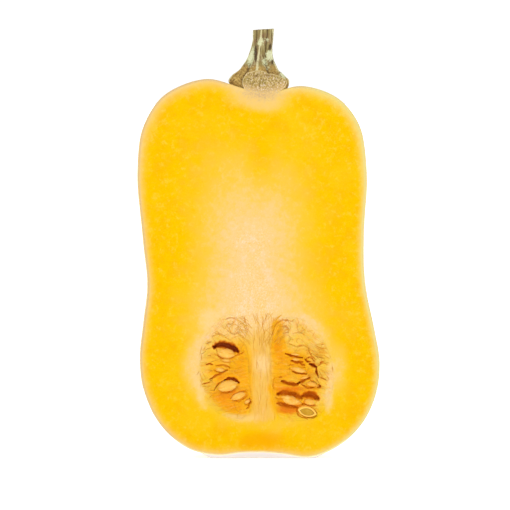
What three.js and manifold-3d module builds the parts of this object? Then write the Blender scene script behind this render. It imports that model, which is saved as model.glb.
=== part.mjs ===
// One half of a butternut squash, cut lengthwise and standing on its blossom end.
// Millimetres, +Z up, the cut face towards -Y. The knife passed a little in front of
// the fruit's axis, so the stalk stays whole and only the front of its foot is sliced.
import * as THREE from "three";
import { mergeVertices } from "three/addons/utils/BufferGeometryUtils.js";
import Module from "manifold-3d";

const wasm = await Module();
wasm.setup();

// Driving dimensions.
const CUT_TO_AXIS = 7; // from the cut plane, y = 0, back to the fruit's axis
const AXIS_X = 1.8; // the axis stands this far right of the middle of the fruit
const GAP = 0.35; // clearance between neighbouring pieces
const BIG = 400; // side of the blocks that trim a piece to a plane
const OVERSHOOT = -2; // a hollow is cut from this far in front of the cut plane

// The fruit's outline, bottom to top, as [distance from the axis, height].
const OUTLINE_RIGHT = [
  [0, 4.8], // middle of the blossom end
  [12, 3.4],
  [24, 0.9], // low rim round the blossom end
  [37, 6],
  [49, 17.5],
  [55.5, 32.5],
  [56.8, 46], // widest part of the bulb
  [54, 64],
  [49.8, 85],
  [49.3, 108], // waist
  [50.4, 137.5], // widest part of the neck
  [46.8, 160.5],
  [36.7, 173.5],
  [20.3, 179.4], // shoulder beside the stalk
  [10.5, 177.2],
  [0, 174.5], // middle of the stalk's dent
];
const OUTLINE_LEFT = [
  [0, 4.8],
  [12, 3.2],
  [22.6, 1.9],
  [36.7, 5.2],
  [50, 17],
  [57.4, 33.5],
  [59.2, 48.5],
  [57.4, 66],
  [55.5, 83.5],
  [57.7, 106],
  [60.4, 137.5],
  [57.6, 160],
  [48, 175],
  [27.9, 182.9],
  [12.5, 179],
  [0, 174.5],
];
const RIM = 2; // index of the low rim in both outlines
const REAR_RIM_REACH = 11; // how much further out the rim lies at the back
const RIM_DROP = 2.5; // how much lower the rim hangs behind the cut
const RIM_DROP_ONSET = 0.06; // how soon behind the cut it reaches that
const FURROWS = 5; // shallow furrows that run from the stalk over the shoulder
const FURROW_DEPTH = 0.5;
const FURROW_TURN = 0.6; // radians that they are turned round the fruit
const FURROW_AT = 12; // they are deepest at this point of the outline
const FRUIT_STEPS = 44;
const FRUIT_SIDES = 64;

// Seed chambers: outline on the cut face as [x, z], and how deep the bowl goes.
const CHAMBER_DEPTH = 17.5;
const CHAMBER_SIDES = 34;
const BOWL_SHARES = [0.25, 0.48, 0.7, 0.88, 0.97]; // depths of its rings, as shares
const CHAMBERS = {
  left: {
    centre: [-15, 43],
    outline: [
      [-7.3, 65.8], [-14.5, 69.6], [-22.2, 64.3], [-26.8, 54.7], [-28.2, 43.7], [-27, 33.1],
      [-23.7, 25.9], [-17.4, 21.1], [-9.7, 18.7], [-4.9, 20.2], [-3, 28.3], [-4.5, 40.3], [-5.4, 52.3],
    ],
    // the cord that the seeds hang on, as [x, depth behind the cut, z]
    cord: [[-13.5, 9.5, 56], [-14.8, 11.8, 48], [-15, 12, 38], [-13.8, 10, 29.5]],
    // [x, z, width, thickness, roll in degrees, depth of the front end]
    seeds: [
      [-15.7, 51, 9.8, 4.4, -8, 0.3],
      [-15.5, 46.9, 7.2, 2.4, -5, 0.9],
      [-18.1, 43.1, 7, 3, -4, 0.7],
      [-14.8, 34.8, 10.2, 4.8, 8, 0.3],
      [-9.9, 30, 8.6, 3.2, 20, 0.5],
      [-7, 27.9, 4.2, 2.6, 25, 0.8],
    ],
    pockets: [
      [-15.6, 53.7, 7.4, 2.2, -10, 9],
      [-14.6, 37.9, 6, 1.7, 6, 7],
    ],
  },
  right: {
    centre: [20, 43],
    outline: [
      [9, 66.2], [15.7, 68.4], [23.9, 65.8], [30.6, 58.1], [34.9, 48.5], [36.1, 37.9], [33.9, 28.3],
      [28.7, 20.6], [20, 18.5], [11.4, 19.2], [8, 25.9], [6.3, 37.9], [5.4, 52.3],
    ],
    cord: [[18.5, 9.5, 56], [19.5, 11.8, 48], [20.5, 12, 37], [20, 9.5, 27]],
    seeds: [
      [17.3, 50.8, 8.6, 2.6, -7, 0.5],
      [17.6, 47.6, 6.4, 2.2, -5, 0.9],
      [18.6, 43.2, 8.8, 3.2, -10, 0.4],
      [21, 38.9, 7.2, 2.6, 12, 0.6],
      [23.9, 35.4, 8, 3, -10, 0.5],
      [15.6, 28.9, 10.2, 4, -10, 0.4],
      [24.3, 27.9, 7, 2.8, -12, 0.6],
      [23.3, 22.8, 10, 4.8, -8, -1.5],
    ],
    pockets: [
      [14.6, 31.4, 6.4, 2.2, -6, 8],
      [24.6, 30, 5, 2, -4, 7],
      [26.5, 43.5, 1.6, 3.6, 20, 7],
      [18.4, 36.6, 6.4, 1, -2, 5],
    ],
  },
};
const SEED_SIDES = 8;
const SEED_STEPS = 5;
const SEED_ROOM = 0.5; // clearance that the pulp leaves round a seed's widest part
const TIP_GROWTH = 1.6; // a grown seed's ends move this much more than its sides
const SEEDS_LEAN_TO = 42; // height that the seeds' pointed ends lean towards
const SEED_LEAN = 0.12; // and by how much of the way
const SEED_ROOT = 1.6; // how far a seed's pointed end goes past the cord's middle
const CORD_RADIUS = 1.3;
const CORD_SIDES = 7;
const CORD_STEPS = 7;
const PULP_RINGS = 8;
const PULP_REST = 1; // depth of the pulp's rim behind the cut
const PULP_SINK = 0.7; // the rest of its face lies this much deeper on average
const PULP_RELIEF = 0.9; // height of its lumps and strands
const POCKET_MOUTH = 0.4; // a dark pocket is widest this far behind the cut
const SEED_CUT = 0.3; // no seed stands out past this

// Stalk: [height, half width, middle x, depth of the groove between ribs], bottom to top.
const STALK = [
  [171, 6, 0.3, 0],
  [176, 11.5, 0.2, 0.05],
  [179.6, 14, 0.1, 0.08],
  [182, 14.3, 0, 0.1],
  [184.4, 12.6, 0.1, 0.14],
  [186.7, 10, 0.5, 0.17],
  [189.1, 8.3, 0.8, 0.2],
  [192, 6.7, 1.1, 0.22],
  [196.3, 5.6, 1.5, 0.2],
  [201.1, 5.2, 2.1, 0.18],
  [205.4, 5.3, 2.4, 0.16],
  [207, 5.3, 2.5, 0.16],
];
const STALK_RIBS = 5;
const STALK_RIB_TURN = 0.35; // radians that the ribs are turned round the stalk
const STALK_TWIST = 0.25; // radians that they wind from foot to tip
const STALK_TO_CUT = 8.6; // stalk's axis behind the cut plane, at its foot
const STALK_LEAN = 0.02; // it leans back by this much for each millimetre of height
const STALK_SIDES = 35;
const STALK_STEPS = 18;
const STALK_TOP = 206.4; // the stalk was snipped off here
const STALK_TOP_SLOPE = 0.06;

// Solids.
function solidOf(geometry) {
  geometry.deleteAttribute("normal");
  geometry.deleteAttribute("uv");
  const merged = mergeVertices(geometry, 1e-4);
  return new wasm.Manifold(
    new wasm.Mesh({
      numProp: 3,
      vertProperties: new Float32Array(merged.attributes.position.array),
      triVerts: new Uint32Array(merged.index.array),
    }),
  );
}

function geometryOf(solid) {
  const mesh = solid.getMesh();
  const geometry = new THREE.BufferGeometry();
  geometry.setAttribute("position", new THREE.BufferAttribute(mesh.vertProperties, 3));
  geometry.setIndex(new THREE.BufferAttribute(mesh.triVerts, 1));
  return geometry.toNonIndexed();
}

// A closed skin over rings of points, each ring as long as the others, ended by two points.
function ringSolid(rings, first, last) {
  const sides = rings[0].length;
  const points = [first, ...rings.flat(), last];
  const end = points.length - 1;
  const at = (ring, side) => 1 + ring * sides + (side % sides);
  const faces = [];
  for (let side = 0; side < sides; side++) {
    faces.push(0, at(0, side + 1), at(0, side));
    faces.push(end, at(rings.length - 1, side), at(rings.length - 1, side + 1));
    for (let ring = 0; ring + 1 < rings.length; ring++) {
      const [a, b] = [at(ring, side), at(ring, side + 1)];
      const [c, d] = [at(ring + 1, side), at(ring + 1, side + 1)];
      faces.push(a, b, d, a, d, c);
    }
  }
  const geometry = new THREE.BufferGeometry();
  geometry.setAttribute(
    "position",
    new THREE.Float32BufferAttribute(points.flatMap((p) => p.toArray()), 3),
  );
  geometry.setIndex(faces);
  const made = solidOf(geometry);
  if (made.volume() > 0) return made;
  for (let i = 0; i < faces.length; i += 3) {
    [faces[i + 1], faces[i + 2]] = [faces[i + 2], faces[i + 1]];
  }
  geometry.setIndex(faces);
  return solidOf(geometry);
}

function block(x, y, z) {
  const box = new THREE.BoxGeometry(BIG, BIG, BIG);
  box.translate(x, y, z);
  return solidOf(box);
}

const inFrontOf = (y) => block(0, y - BIG / 2, 0);
const below = (z) => block(0, 0, z - BIG / 2);

// Fruit.
const mix = THREE.MathUtils.lerp;

// The outline at an angle round the axis: 0 is right, a quarter turn is the back.
function outlineAt(angle, grow) {
  const left = (1 - Math.cos(angle)) / 2;
  const back = Math.max(0, Math.sin(angle)) ** 2;
  const drop = (RIM_DROP * back) / (back + RIM_DROP_ONSET);
  const points = OUTLINE_RIGHT.map(([reach, height], i) => {
    const near = Math.exp(-((i - RIM) ** 2));
    const wave = Math.cos(FURROWS * angle + FURROW_TURN);
    const furrow = FURROW_DEPTH * wave * Math.exp(-((i - FURROW_AT) ** 2) / 4);
    return new THREE.Vector3(
      mix(reach, OUTLINE_LEFT[i][0], left) + (reach ? REAR_RIM_REACH * back * near + furrow : 0),
      mix(height, OUTLINE_LEFT[i][1], left) - (reach ? drop * near : 0),
      0,
    );
  });
  const mirrored = (p) => new THREE.Vector3(-p.x, p.y, 0);
  const curve = new THREE.CatmullRomCurve3(
    [mirrored(points[1]), ...points, mirrored(points.at(-2))],
    false,
    "centripetal",
  );
  const spans = points.length + 1;
  return (step) => {
    const t = (1 + (step / FRUIT_STEPS) * (points.length - 1)) / spans;
    const out = curve.getTangent(t);
    return curve.getPoint(t).add(new THREE.Vector3(out.y, -out.x, 0).multiplyScalar(grow));
  };
}

function fruit(grow) {
  const outlines = Array.from({ length: FRUIT_SIDES }, (_, side) =>
    outlineAt((2 * Math.PI * side) / FRUIT_SIDES, grow),
  );
  const rings = [];
  for (let step = 1; step < FRUIT_STEPS; step++) {
    rings.push(
      outlines.map((outline, side) => {
        const angle = (2 * Math.PI * side) / FRUIT_SIDES;
        const { x: reach, y: height } = outline(step);
        return new THREE.Vector3(
          AXIS_X + reach * Math.cos(angle),
          CUT_TO_AXIS + reach * Math.sin(angle),
          height,
        );
      }),
    );
  }
  const pole = (step) => new THREE.Vector3(AXIS_X, CUT_TO_AXIS, outlines[0](step).y);
  return ringSolid(rings, pole(0), pole(FRUIT_STEPS));
}

// Seed chambers.
function chamberEdge({ outline, centre }, inset) {
  const curve = new THREE.CatmullRomCurve3(
    outline.map(([x, z]) => new THREE.Vector3(x, 0, z)),
    true,
    "centripetal",
  );
  const middle = new THREE.Vector3(centre[0], 0, centre[1]);
  return Array.from({ length: CHAMBER_SIDES }, (_, side) => {
    const along = curve.getTangent(side / CHAMBER_SIDES);
    const inward = new THREE.Vector3(-along.z, 0, along.x);
    const p = curve.getPoint(side / CHAMBER_SIDES).sub(middle);
    return p.addScaledVector(inward, -Math.sign(inward.dot(p)) * inset);
  });
}

// Rings of a round bowl behind an edge, from its brim to near its bottom.
function bowlRings(edge, middle, depth) {
  return BOWL_SHARES.map((share) => {
    const narrowed = Math.sqrt(1 - share ** 2);
    return edge.map((p) => p.clone().multiplyScalar(narrowed).add(middle).setY(share * depth));
  });
}

// The hollow that a chamber leaves in the flesh, open past the cut face.
function hollow(chamber) {
  const edge = chamberEdge(chamber, 0);
  const middle = new THREE.Vector3(chamber.centre[0], 0, chamber.centre[1]);
  const mouth = [OVERSHOOT, PULP_REST].map((y) => edge.map((p) => p.clone().add(middle).setY(y)));
  return ringSolid(
    [...mouth, ...bowlRings(edge, middle, CHAMBER_DEPTH)],
    middle.clone().setY(OVERSHOOT),
    middle.clone().setY(CHAMBER_DEPTH),
  );
}

// Lumps and strands on the pulp's face: strands run up the chamber and fan out at its top.
function pulpFace(x, z, middle) {
  const across = (x - middle.x) / (1 + 0.02 * Math.max(0, z - 50));
  const strands = Math.sin(1.15 * across + 0.8 * Math.sin(z / 5.2));
  const lumps = Math.sin(z / 2.1 + 1.3 * Math.sin(x / 3.4)) * Math.cos(x / 4.3 + z / 11);
  return PULP_REST + PULP_SINK + PULP_RELIEF * (0.35 * strands + 0.65 * lumps);
}

function pulpBlank(chamber) {
  const edge = chamberEdge(chamber, GAP);
  const middle = new THREE.Vector3(chamber.centre[0], 0, chamber.centre[1]);
  const face = Array.from({ length: PULP_RINGS }, (_, ring) => {
    const share = (ring + 1) / PULP_RINGS;
    return edge.map((p) => {
      const q = p.clone().multiplyScalar(share).add(middle);
      return q.setY(mix(pulpFace(q.x, q.z, middle), PULP_REST, share ** 6));
    });
  });
  const depth = CHAMBER_DEPTH - GAP;
  return ringSolid(
    [...face, ...bowlRings(edge, middle, depth)],
    middle.clone().setY(pulpFace(middle.x, middle.z, middle)),
    middle.clone().setY(depth),
  );
}

function cordPath({ cord }) {
  return new THREE.CatmullRomCurve3(cord.map((p) => new THREE.Vector3(...p)));
}

// The point of the cord at a height.
function cordAt(path, z) {
  const points = path.getPoints(60);
  return points.reduce((best, p) => (Math.abs(p.z - z) < Math.abs(best.z - z) ? p : best));
}

// A flat drop: blunt at the cut face, drawn out to a point where it joins the cord.
function seed([x, z, width, thickness, roll, front], path, grow) {
  const tip = new THREE.Vector3(x, front, z);
  const root = cordAt(path, mix(z, SEEDS_LEAN_TO, SEED_LEAN));
  const along = root.clone().sub(tip).normalize();
  const length = tip.distanceTo(root) + SEED_ROOT;
  const across = new THREE.Vector3(1, 0, Math.tan(THREE.MathUtils.degToRad(roll)));
  across.sub(along.clone().multiplyScalar(across.dot(along))).normalize();
  const through = new THREE.Vector3().crossVectors(along, across);
  const ringAt = (share) => {
    const swell = Math.sqrt(Math.sin(Math.PI * share ** 0.6));
    return Array.from({ length: SEED_SIDES }, (_, side) => {
      const turn = (2 * Math.PI * side) / SEED_SIDES;
      return tip
        .clone()
        .addScaledVector(along, share * length)
        .addScaledVector(across, Math.cos(turn) * ((swell * width) / 2 + grow))
        .addScaledVector(through, Math.sin(turn) * ((swell * thickness) / 2 + grow));
    });
  };
  const shares = Array.from(
    { length: SEED_STEPS },
    (_, i) => ((i + 0.3) / (SEED_STEPS - 0.2)) ** 1.5,
  );
  return ringSolid(
    shares.map(ringAt),
    tip.clone().addScaledVector(along, -TIP_GROWTH * grow),
    tip.clone().addScaledVector(along, length + TIP_GROWTH * grow),
  );
}

function cordSolid(path, grow) {
  const rings = Array.from({ length: CORD_STEPS + 1 }, (_, step) => {
    const along = path.getTangent(step / CORD_STEPS);
    const across = new THREE.Vector3(0, along.z, -along.y).normalize();
    const through = new THREE.Vector3().crossVectors(along, across);
    return Array.from({ length: CORD_SIDES }, (_, side) => {
      const turn = (2 * Math.PI * side) / CORD_SIDES;
      return path
        .getPoint(step / CORD_STEPS)
        .addScaledVector(across, Math.cos(turn) * (CORD_RADIUS + grow))
        .addScaledVector(through, Math.sin(turn) * (CORD_RADIUS + grow));
    });
  });
  const end = (t) =>
    path.getPoint(t).addScaledVector(path.getTangent(t), (2 * t - 1) * (CORD_RADIUS + grow));
  return ringSolid(rings, end(0), end(1));
}

// All seeds of a chamber on the cord that carries them, as one body.
function seedCluster(chamber, grow) {
  const path = cordPath(chamber);
  return chamber.seeds
    .map((one) => seed(one, path, grow))
    .reduce((joined, one) => joined.add(one), cordSolid(path, grow));
}

// A dark slot left in the pulp beside a seed: [x, z, half width, half height, roll, depth].
function pocket([x, z, halfWidth, halfHeight, roll, depth]) {
  const ball = new THREE.SphereGeometry(1, 12, 8);
  ball.scale(halfWidth, depth, halfHeight);
  ball.rotateY(-THREE.MathUtils.degToRad(roll));
  ball.translate(x, POCKET_MOUTH, z);
  return solidOf(ball);
}

// Stalk.
function stalkBlank() {
  const curve = new THREE.CatmullRomCurve3(
    STALK.map(([height, half, x]) => new THREE.Vector3(x, half, height)),
    false,
    "centripetal",
  );
  const grooves = new THREE.CatmullRomCurve3(
    STALK.map(([height, , , groove]) => new THREE.Vector3(groove, 0, height)),
    false,
    "centripetal",
  );
  const rings = [];
  for (let step = 0; step <= STALK_STEPS; step++) {
    const t = step / STALK_STEPS;
    const { x: middle, y: half, z: height } = curve.getPoint(t);
    const groove = grooves.getPoint(t).x;
    const behind = STALK_TO_CUT + STALK_LEAN * (height - STALK[0][0]);
    const ring = [];
    for (let side = 0; side < STALK_SIDES; side++) {
      const angle = (2 * Math.PI * side) / STALK_SIDES;
      const turned = (STALK_RIBS / 2) * (angle + STALK_RIB_TURN + STALK_TWIST * t);
      const reach = half * (1 - groove * (1 - Math.abs(Math.cos(turned)) ** 0.8));
      ring.push(
        new THREE.Vector3(
          middle + reach * Math.cos(angle),
          behind + reach * Math.sin(angle),
          height,
        ),
      );
    }
    rings.push(ring);
  }
  const centreOf = (ring) =>
    ring.reduce((sum, p) => sum.add(p), new THREE.Vector3()).divideScalar(ring.length);
  return ringSolid(rings, centreOf(rings[0]), centreOf(rings.at(-1)));
}

function aboveStalkTop() {
  const box = new THREE.BoxGeometry(BIG, BIG, BIG);
  box.translate(0, 0, BIG / 2);
  box.rotateY(STALK_TOP_SLOPE);
  box.rotateX(-STALK_TOP_SLOPE);
  box.translate(0, STALK_TO_CUT, STALK_TOP);
  return solidOf(box);
}

// The object.
const material = (color, roughness) =>
  new THREE.MeshStandardMaterial({ color, roughness, metalness: 0 });
const fleshFinish = material(0xfbbf1e, 0.55);
const stalkFinish = material(0x8b7a4b, 0.9);
const pulpFinish = material(0xf29a1f, 0.45);
const seedFinish = material(0xf6d79a, 0.5);

const squash = new THREE.Group();

function add(name, solid, finish) {
  const mesh = new THREE.Mesh(geometryOf(solid), finish);
  mesh.name = name;
  squash.add(mesh);
}

const wholeFruit = fruit(0);
const half = Object.values(CHAMBERS).reduce(
  (flesh, chamber) => flesh.subtract(hollow(chamber)),
  wholeFruit.subtract(inFrontOf(0)).subtract(below(0)),
);
add("squash_half", half, fleshFinish);

const stalk = stalkBlank()
  .subtract(inFrontOf(0))
  .subtract(aboveStalkTop())
  .subtract(fruit(GAP));
add("stalk", stalk, stalkFinish);

for (const [side, chamber] of Object.entries(CHAMBERS)) {
  const blank = pulpBlank(chamber).subtract(seedCluster(chamber, SEED_ROOM));
  const pulp = chamber.pockets.reduce((mass, one) => mass.subtract(pocket(one)), blank);
  add(`pulp_${side}`, pulp, pulpFinish);
  add(`seeds_${side}`, seedCluster(chamber, 0).subtract(inFrontOf(SEED_CUT)), seedFinish);
}

// The origin is on the table, under the middle of the object's box.
const size = new THREE.Box3().setFromObject(squash);
const middle = size.getCenter(new THREE.Vector3());
squash.position.set(-middle.x, -middle.y, -size.min.z);

export default squash;
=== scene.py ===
import functools
import math

import bmesh
import bpy
import numpy as np
from mathutils import Matrix, Vector
from mathutils.geometry import delaunay_2d_cdt


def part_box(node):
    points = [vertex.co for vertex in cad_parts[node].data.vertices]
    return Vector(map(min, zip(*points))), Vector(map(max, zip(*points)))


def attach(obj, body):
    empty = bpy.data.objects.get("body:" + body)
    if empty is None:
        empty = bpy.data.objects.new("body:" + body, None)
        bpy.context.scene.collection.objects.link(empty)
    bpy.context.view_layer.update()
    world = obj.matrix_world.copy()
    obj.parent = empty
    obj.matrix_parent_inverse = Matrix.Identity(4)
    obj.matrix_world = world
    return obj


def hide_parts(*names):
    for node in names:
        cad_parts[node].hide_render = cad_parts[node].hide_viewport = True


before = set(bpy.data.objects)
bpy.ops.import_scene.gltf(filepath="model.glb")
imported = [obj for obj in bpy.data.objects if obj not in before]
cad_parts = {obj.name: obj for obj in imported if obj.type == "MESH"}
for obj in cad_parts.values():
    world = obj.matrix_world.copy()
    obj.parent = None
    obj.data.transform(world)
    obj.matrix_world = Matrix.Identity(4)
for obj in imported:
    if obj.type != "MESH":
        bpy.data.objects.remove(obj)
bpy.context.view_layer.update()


# Numbers and fields. Lengths are in millimetres until a mesh is made; y is the depth behind the knife cut.
def smooth(low, high, value):
    t = np.clip((value - low) / (high - low), 0, 1)
    return t * t * (3 - 2 * t)


# What the noise below is drawn from, and how far its octaves lie apart.
hashing = {"spread": (127.1, 311.7, 74.7), "seed": 53.3, "scale": 43758.5453, "octave": 7.7}


# Smooth noise at points of any dimension, about -1 to 1.
def grain(points, seed=0):
    base = np.floor(points)
    part = points - base
    part = part * part * (3 - 2 * part)
    spread = np.array(hashing["spread"])[: points.shape[1]]
    total = np.zeros(len(points))
    for corner in np.ndindex(*(2,) * points.shape[1]):
        corner = np.array(corner)
        wave = np.sin((base + corner) @ spread + hashing["seed"] * seed) * hashing["scale"]
        weight = np.prod(np.where(corner == 1, part, 1 - part), axis=1)
        total += weight * (2 * (wave - np.floor(wave)) - 1)
    return total


def layered(points, seed=0, octaves=3):
    steps = range(octaves)
    return sum(grain(points * 2**k + hashing["octave"] * k, seed + k) * 0.5**k for k in steps)


# A centripetal curve through points, at parameters that count its spans.
def curveThrough(points, at, closed=False):
    points = np.asarray(points, float)
    if closed:
        spans = len(points)
        ring = np.vstack([points[-1:], points, points[:2]])
    else:
        spans = len(points) - 1
        ring = np.vstack([2 * points[0] - points[1], points, 2 * points[-1] - points[-2]])
    at = np.asarray(at, float)
    i = np.clip(np.floor(at).astype(int), 0, spans - 1)
    w = (at - i)[:, None]
    p0, p1, p2, p3 = (ring[i + k] for k in range(4))
    d0, d1, d2 = (
        np.maximum(np.sqrt(np.linalg.norm(b - a, axis=1)), 1e-4)[:, None]
        for a, b in ((p0, p1), (p1, p2), (p2, p3))
    )
    t1 = ((p1 - p0) / d0 - (p2 - p0) / (d0 + d1) + (p2 - p1) / d1) * d1
    t2 = ((p2 - p1) / d1 - (p3 - p1) / (d1 + d2) + (p3 - p2) / d2) * d1
    return p1 + t1 * w + (3 * (p2 - p1) - 2 * t1 - t2) * w**2 + (2 * (p1 - p2) + t1 + t2) * w**3


def smoothPath(points, perSpan=8, closed=False):
    spans = len(points) - (not closed)
    return curveThrough(points, np.arange(0, spans + (not closed) * 1e-9, 1 / perSpan), closed)


# Distance of each point from a path, and how far along the path its nearest spot is, from 0 to 1.
def nearPath(points, path, closed=False):
    path = np.asarray(path, float)
    ends = np.roll(path, -1, axis=0) if closed else path[1:]
    best = np.full(len(points), 1e9)
    along = np.zeros(len(points))
    for k, (a, b) in enumerate(zip(path, ends)):
        way = b - a
        t = np.clip((points - a) @ way / max(way @ way, 1e-12), 0, 1)
        far = np.linalg.norm(points - a - t[:, None] * way, axis=1)
        along = np.where(far < best, (k + t) / len(ends), along)
        best = np.minimum(best, far)
    return best, along


def insideOf(points, loop):
    x, z = points.T
    inside = np.zeros(len(points), bool)
    for (ax, az), (bx, bz) in zip(loop, np.roll(loop, -1, axis=0)):
        if az != bz:
            inside ^= ((az > z) != (bz > z)) & (x < (bx - ax) * (z - az) / (bz - az) + ax)
    return inside


def fromLoop(points, loop):
    return nearPath(points, loop, closed=True)[0]


def wellInside(points, loop, gap):
    points = points[insideOf(points, loop)]
    return points[fromLoop(points, loop) > gap]


# Triangles between closed loops of a flat figure, with extra points inside it.
def fillFlat(loops, extra, holes=()):
    coords = np.vstack([*loops, extra])
    edges, start = [], 0
    for loop in loops:
        ids = np.arange(len(loop)) + start
        edges += list(zip(ids.tolist(), np.roll(ids, -1).tolist()))
        start += len(loop)
    made = delaunay_2d_cdt([Vector(p) for p in coords], edges, [], 0, 1e-6)
    flat = np.array([tuple(p) for p in made[0]])
    source = [ids[0] if ids else -1 for ids in made[3]]
    triangles = np.array([f for f in made[2] if len(f) == 3])
    middle = flat[triangles].mean(axis=1)
    keep = insideOf(middle, loops[0])
    for hole in holes:
        keep &= ~insideOf(middle, hole)
    return flat, source, triangles[keep]


# A triangular lattice of points over a box, each moved a little at random.
def scatter(low, high, spacing, seed, rowSpacing=0.87, jitter=0.22):
    rows = np.arange(low[1], high[1], spacing * rowSpacing)
    x, z = np.meshgrid(np.arange(low[0], high[0], spacing), rows)
    x[::2] += spacing / 2
    draw = np.random.default_rng(seed)
    points = np.stack([x.ravel(), z.ravel()], axis=1)
    return points + draw.uniform(-jitter, jitter, points.shape) * spacing


def lengthsOf(loop):
    return np.linalg.norm(np.roll(loop, -1, axis=0) - loop, axis=1)


# Points of a closed path at distances along it, and the directions across it there.
def loopAt(path, at):
    along = np.concatenate([[0], np.cumsum(lengthsOf(path))])
    ring = np.vstack([path, path[:1]])
    loop = np.stack([np.interp(at, along, ring[:, k]) for k in (0, 1)], axis=1)
    way = np.roll(loop, -1, axis=0) - np.roll(loop, 1, axis=0)
    return loop, np.stack([-way[:, 1], way[:, 0]], axis=1) / np.linalg.norm(way, axis=1)[:, None]


# Faces of a tube of so many rings of vertices, closed by the two last vertices at its ends.
def tubeFaces(rows, size):
    low, high = rows * size, rows * size + 1
    faces = [(low, (k + 1) % size, k) for k in range(size)]
    for row in range(rows - 1):
        for k in range(size):
            a, b = row * size + k, row * size + (k + 1) % size
            faces.append((a, b, b + size, a + size))
    top = (rows - 1) * size
    return faces + [(high, top + k, top + (k + 1) % size) for k in range(size)]


# Vertex numbers for the points of a filled figure: on the loop it joins they are the loop's own, and
# the others follow on. Also which points those others are.
def joinedTo(loop, source, count):
    number, fresh = np.empty(len(source), int), []
    for k, origin in enumerate(source):
        if 0 <= origin < len(loop):
            number[k] = loop[origin]
        else:
            number[k] = count + len(fresh)
            fresh.append(k)
    return number, fresh


# Meshes.
def toFrame(points):
    return (np.asarray(points, float) + shift) / 1000


def placed(name, data):
    thing = bpy.data.objects.new(name, data)
    bpy.context.scene.collection.objects.link(thing)
    return thing


def meshPiece(name, coords, faces, materials, faceMaterial=None, **fields):
    mesh = bpy.data.meshes.new(name)
    mesh.from_pydata(toFrame(coords).tolist(), [], [list(map(int, f)) for f in faces])
    for material in materials:
        mesh.materials.append(material)
    if faceMaterial is not None:
        mesh.polygons.foreach_set("material_index", np.asarray(faceMaterial, np.int32))
    for field, values in fields.items():
        values = np.asarray(values, float)
        kind, slot = ("FLOAT_VECTOR", "vector") if values.ndim == 2 else ("FLOAT", "value")
        mesh.attributes.new(field, kind, "POINT").data.foreach_set(slot, values.ravel())
    mesh.polygons.foreach_set("use_smooth", np.ones(len(mesh.polygons), bool))
    mesh.validate()
    return placed(name, mesh)


def outwards(piece, crease=62):
    work = bmesh.new()
    work.from_mesh(piece.data)
    bmesh.ops.recalc_face_normals(work, faces=work.faces)
    work.to_mesh(piece.data)
    work.free()
    piece.data.set_sharp_from_angle(angle=math.radians(crease))
    return piece


def orderedBoundary(work):
    border = [e for e in work.edges if len(e.link_faces) == 1]
    links = {}
    for edge in border:
        for a, b in (edge.verts, reversed(edge.verts)):
            links.setdefault(a.index, []).append(b.index)
    start = border[0].verts[0].index
    loop, before, here = [start], None, start
    while True:
        ahead = [k for k in links[here] if k != before]
        before, here = here, ahead[0]
        if here == start:
            return loop
        loop.append(here)


# What stays behind a knife cut across the depth: its points, its faces and the loop along the cut.
def sliced(work, plane, near, merge):
    whole = work.verts[:] + work.edges[:] + work.faces[:]
    settings = {"plane_co": plane, "plane_no": (0, -1, 0), "clear_outer": True, "dist": near}
    bmesh.ops.bisect_plane(work, geom=whole, **settings)
    bmesh.ops.dissolve_degenerate(work, dist=merge, edges=work.edges[:])
    work.verts.index_update()
    loop = orderedBoundary(work)
    kept = np.array([v.co[:] for v in work.verts])
    faces = [[v.index for v in f.verts] for f in work.faces]
    work.free()
    return kept, faces, loop


def settle(piece, slot, *nodes):
    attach(piece, "root")
    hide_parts(*nodes)
    print(piece.name, len(piece.data.vertices), "vertices", len(piece.data.polygons), "faces")


# Materials.
def linear(colour):
    parts = [int(colour[i : i + 2], 16) / 255 for i in (1, 3, 5)]
    return [p / 12.92 if p <= 0.04045 else ((p + 0.055) / 1.055) ** 2.4 for p in parts] + [1.0]


def addNode(tree, kind, settings=None, links=None):
    node = tree.nodes.new(kind)
    for key, value in (settings or {}).items():
        if isinstance(key, str) and hasattr(node, key):
            setattr(node, key, value)
        else:
            node.inputs[key].default_value = value
    for key, source in (links or {}).items():
        tree.links.new(source, node.inputs[key])
    return node


def nodeOut(tree, kind, settings=None, links=None):
    return addNode(tree, kind, settings, links).outputs[0]


def mathOf(tree, operation, *values):
    numbers = {k: v for k, v in enumerate(values) if isinstance(v, float)}
    links = {k: v for k, v in enumerate(values) if k not in numbers}
    return nodeOut(tree, "ShaderNodeMath", {"operation": operation, **numbers}, links)


# A mask that rises between two limits, up to a top of 1 unless another is given. It is made of noise
# (noise, low, high, top) or of a field on the mesh whose edge noise breaks up (field, noise, by how
# much, low, high, top).
def maskOf(tree, value, *parts):
    if isinstance(value, str):
        field = addNode(tree, "ShaderNodeAttribute", {"attribute_name": value}).outputs["Fac"]
        noise, amount, *parts = parts
        value = mathOf(tree, "MULTIPLY_ADD", mathOf(tree, "SUBTRACT", noise, 0.5), amount, field)
    low, high, top = (*parts, 1.0)[:3]
    settings = {"interpolation_type": "SMOOTHSTEP", "From Min": low, "From Max": high, "To Max": top}
    return nodeOut(tree, "ShaderNodeMapRange", settings, {"Value": value})


# Colours laid over a base one after another, each given behind the parts of its mask.
def overlay(tree, base, layers):
    if isinstance(base, str):
        ground, base = base, nodeOut(tree, "ShaderNodeRGB")
        base.default_value = linear(ground)
    for *mask, colour in layers:
        mask = maskOf(tree, *mask) if len(mask) > 1 else mask[0]
        settings = {"data_type": "RGBA", 7: linear(colour)}
        base = addNode(tree, "ShaderNodeMix", settings, {0: mask, 6: base}).outputs[2]
    return base


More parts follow.
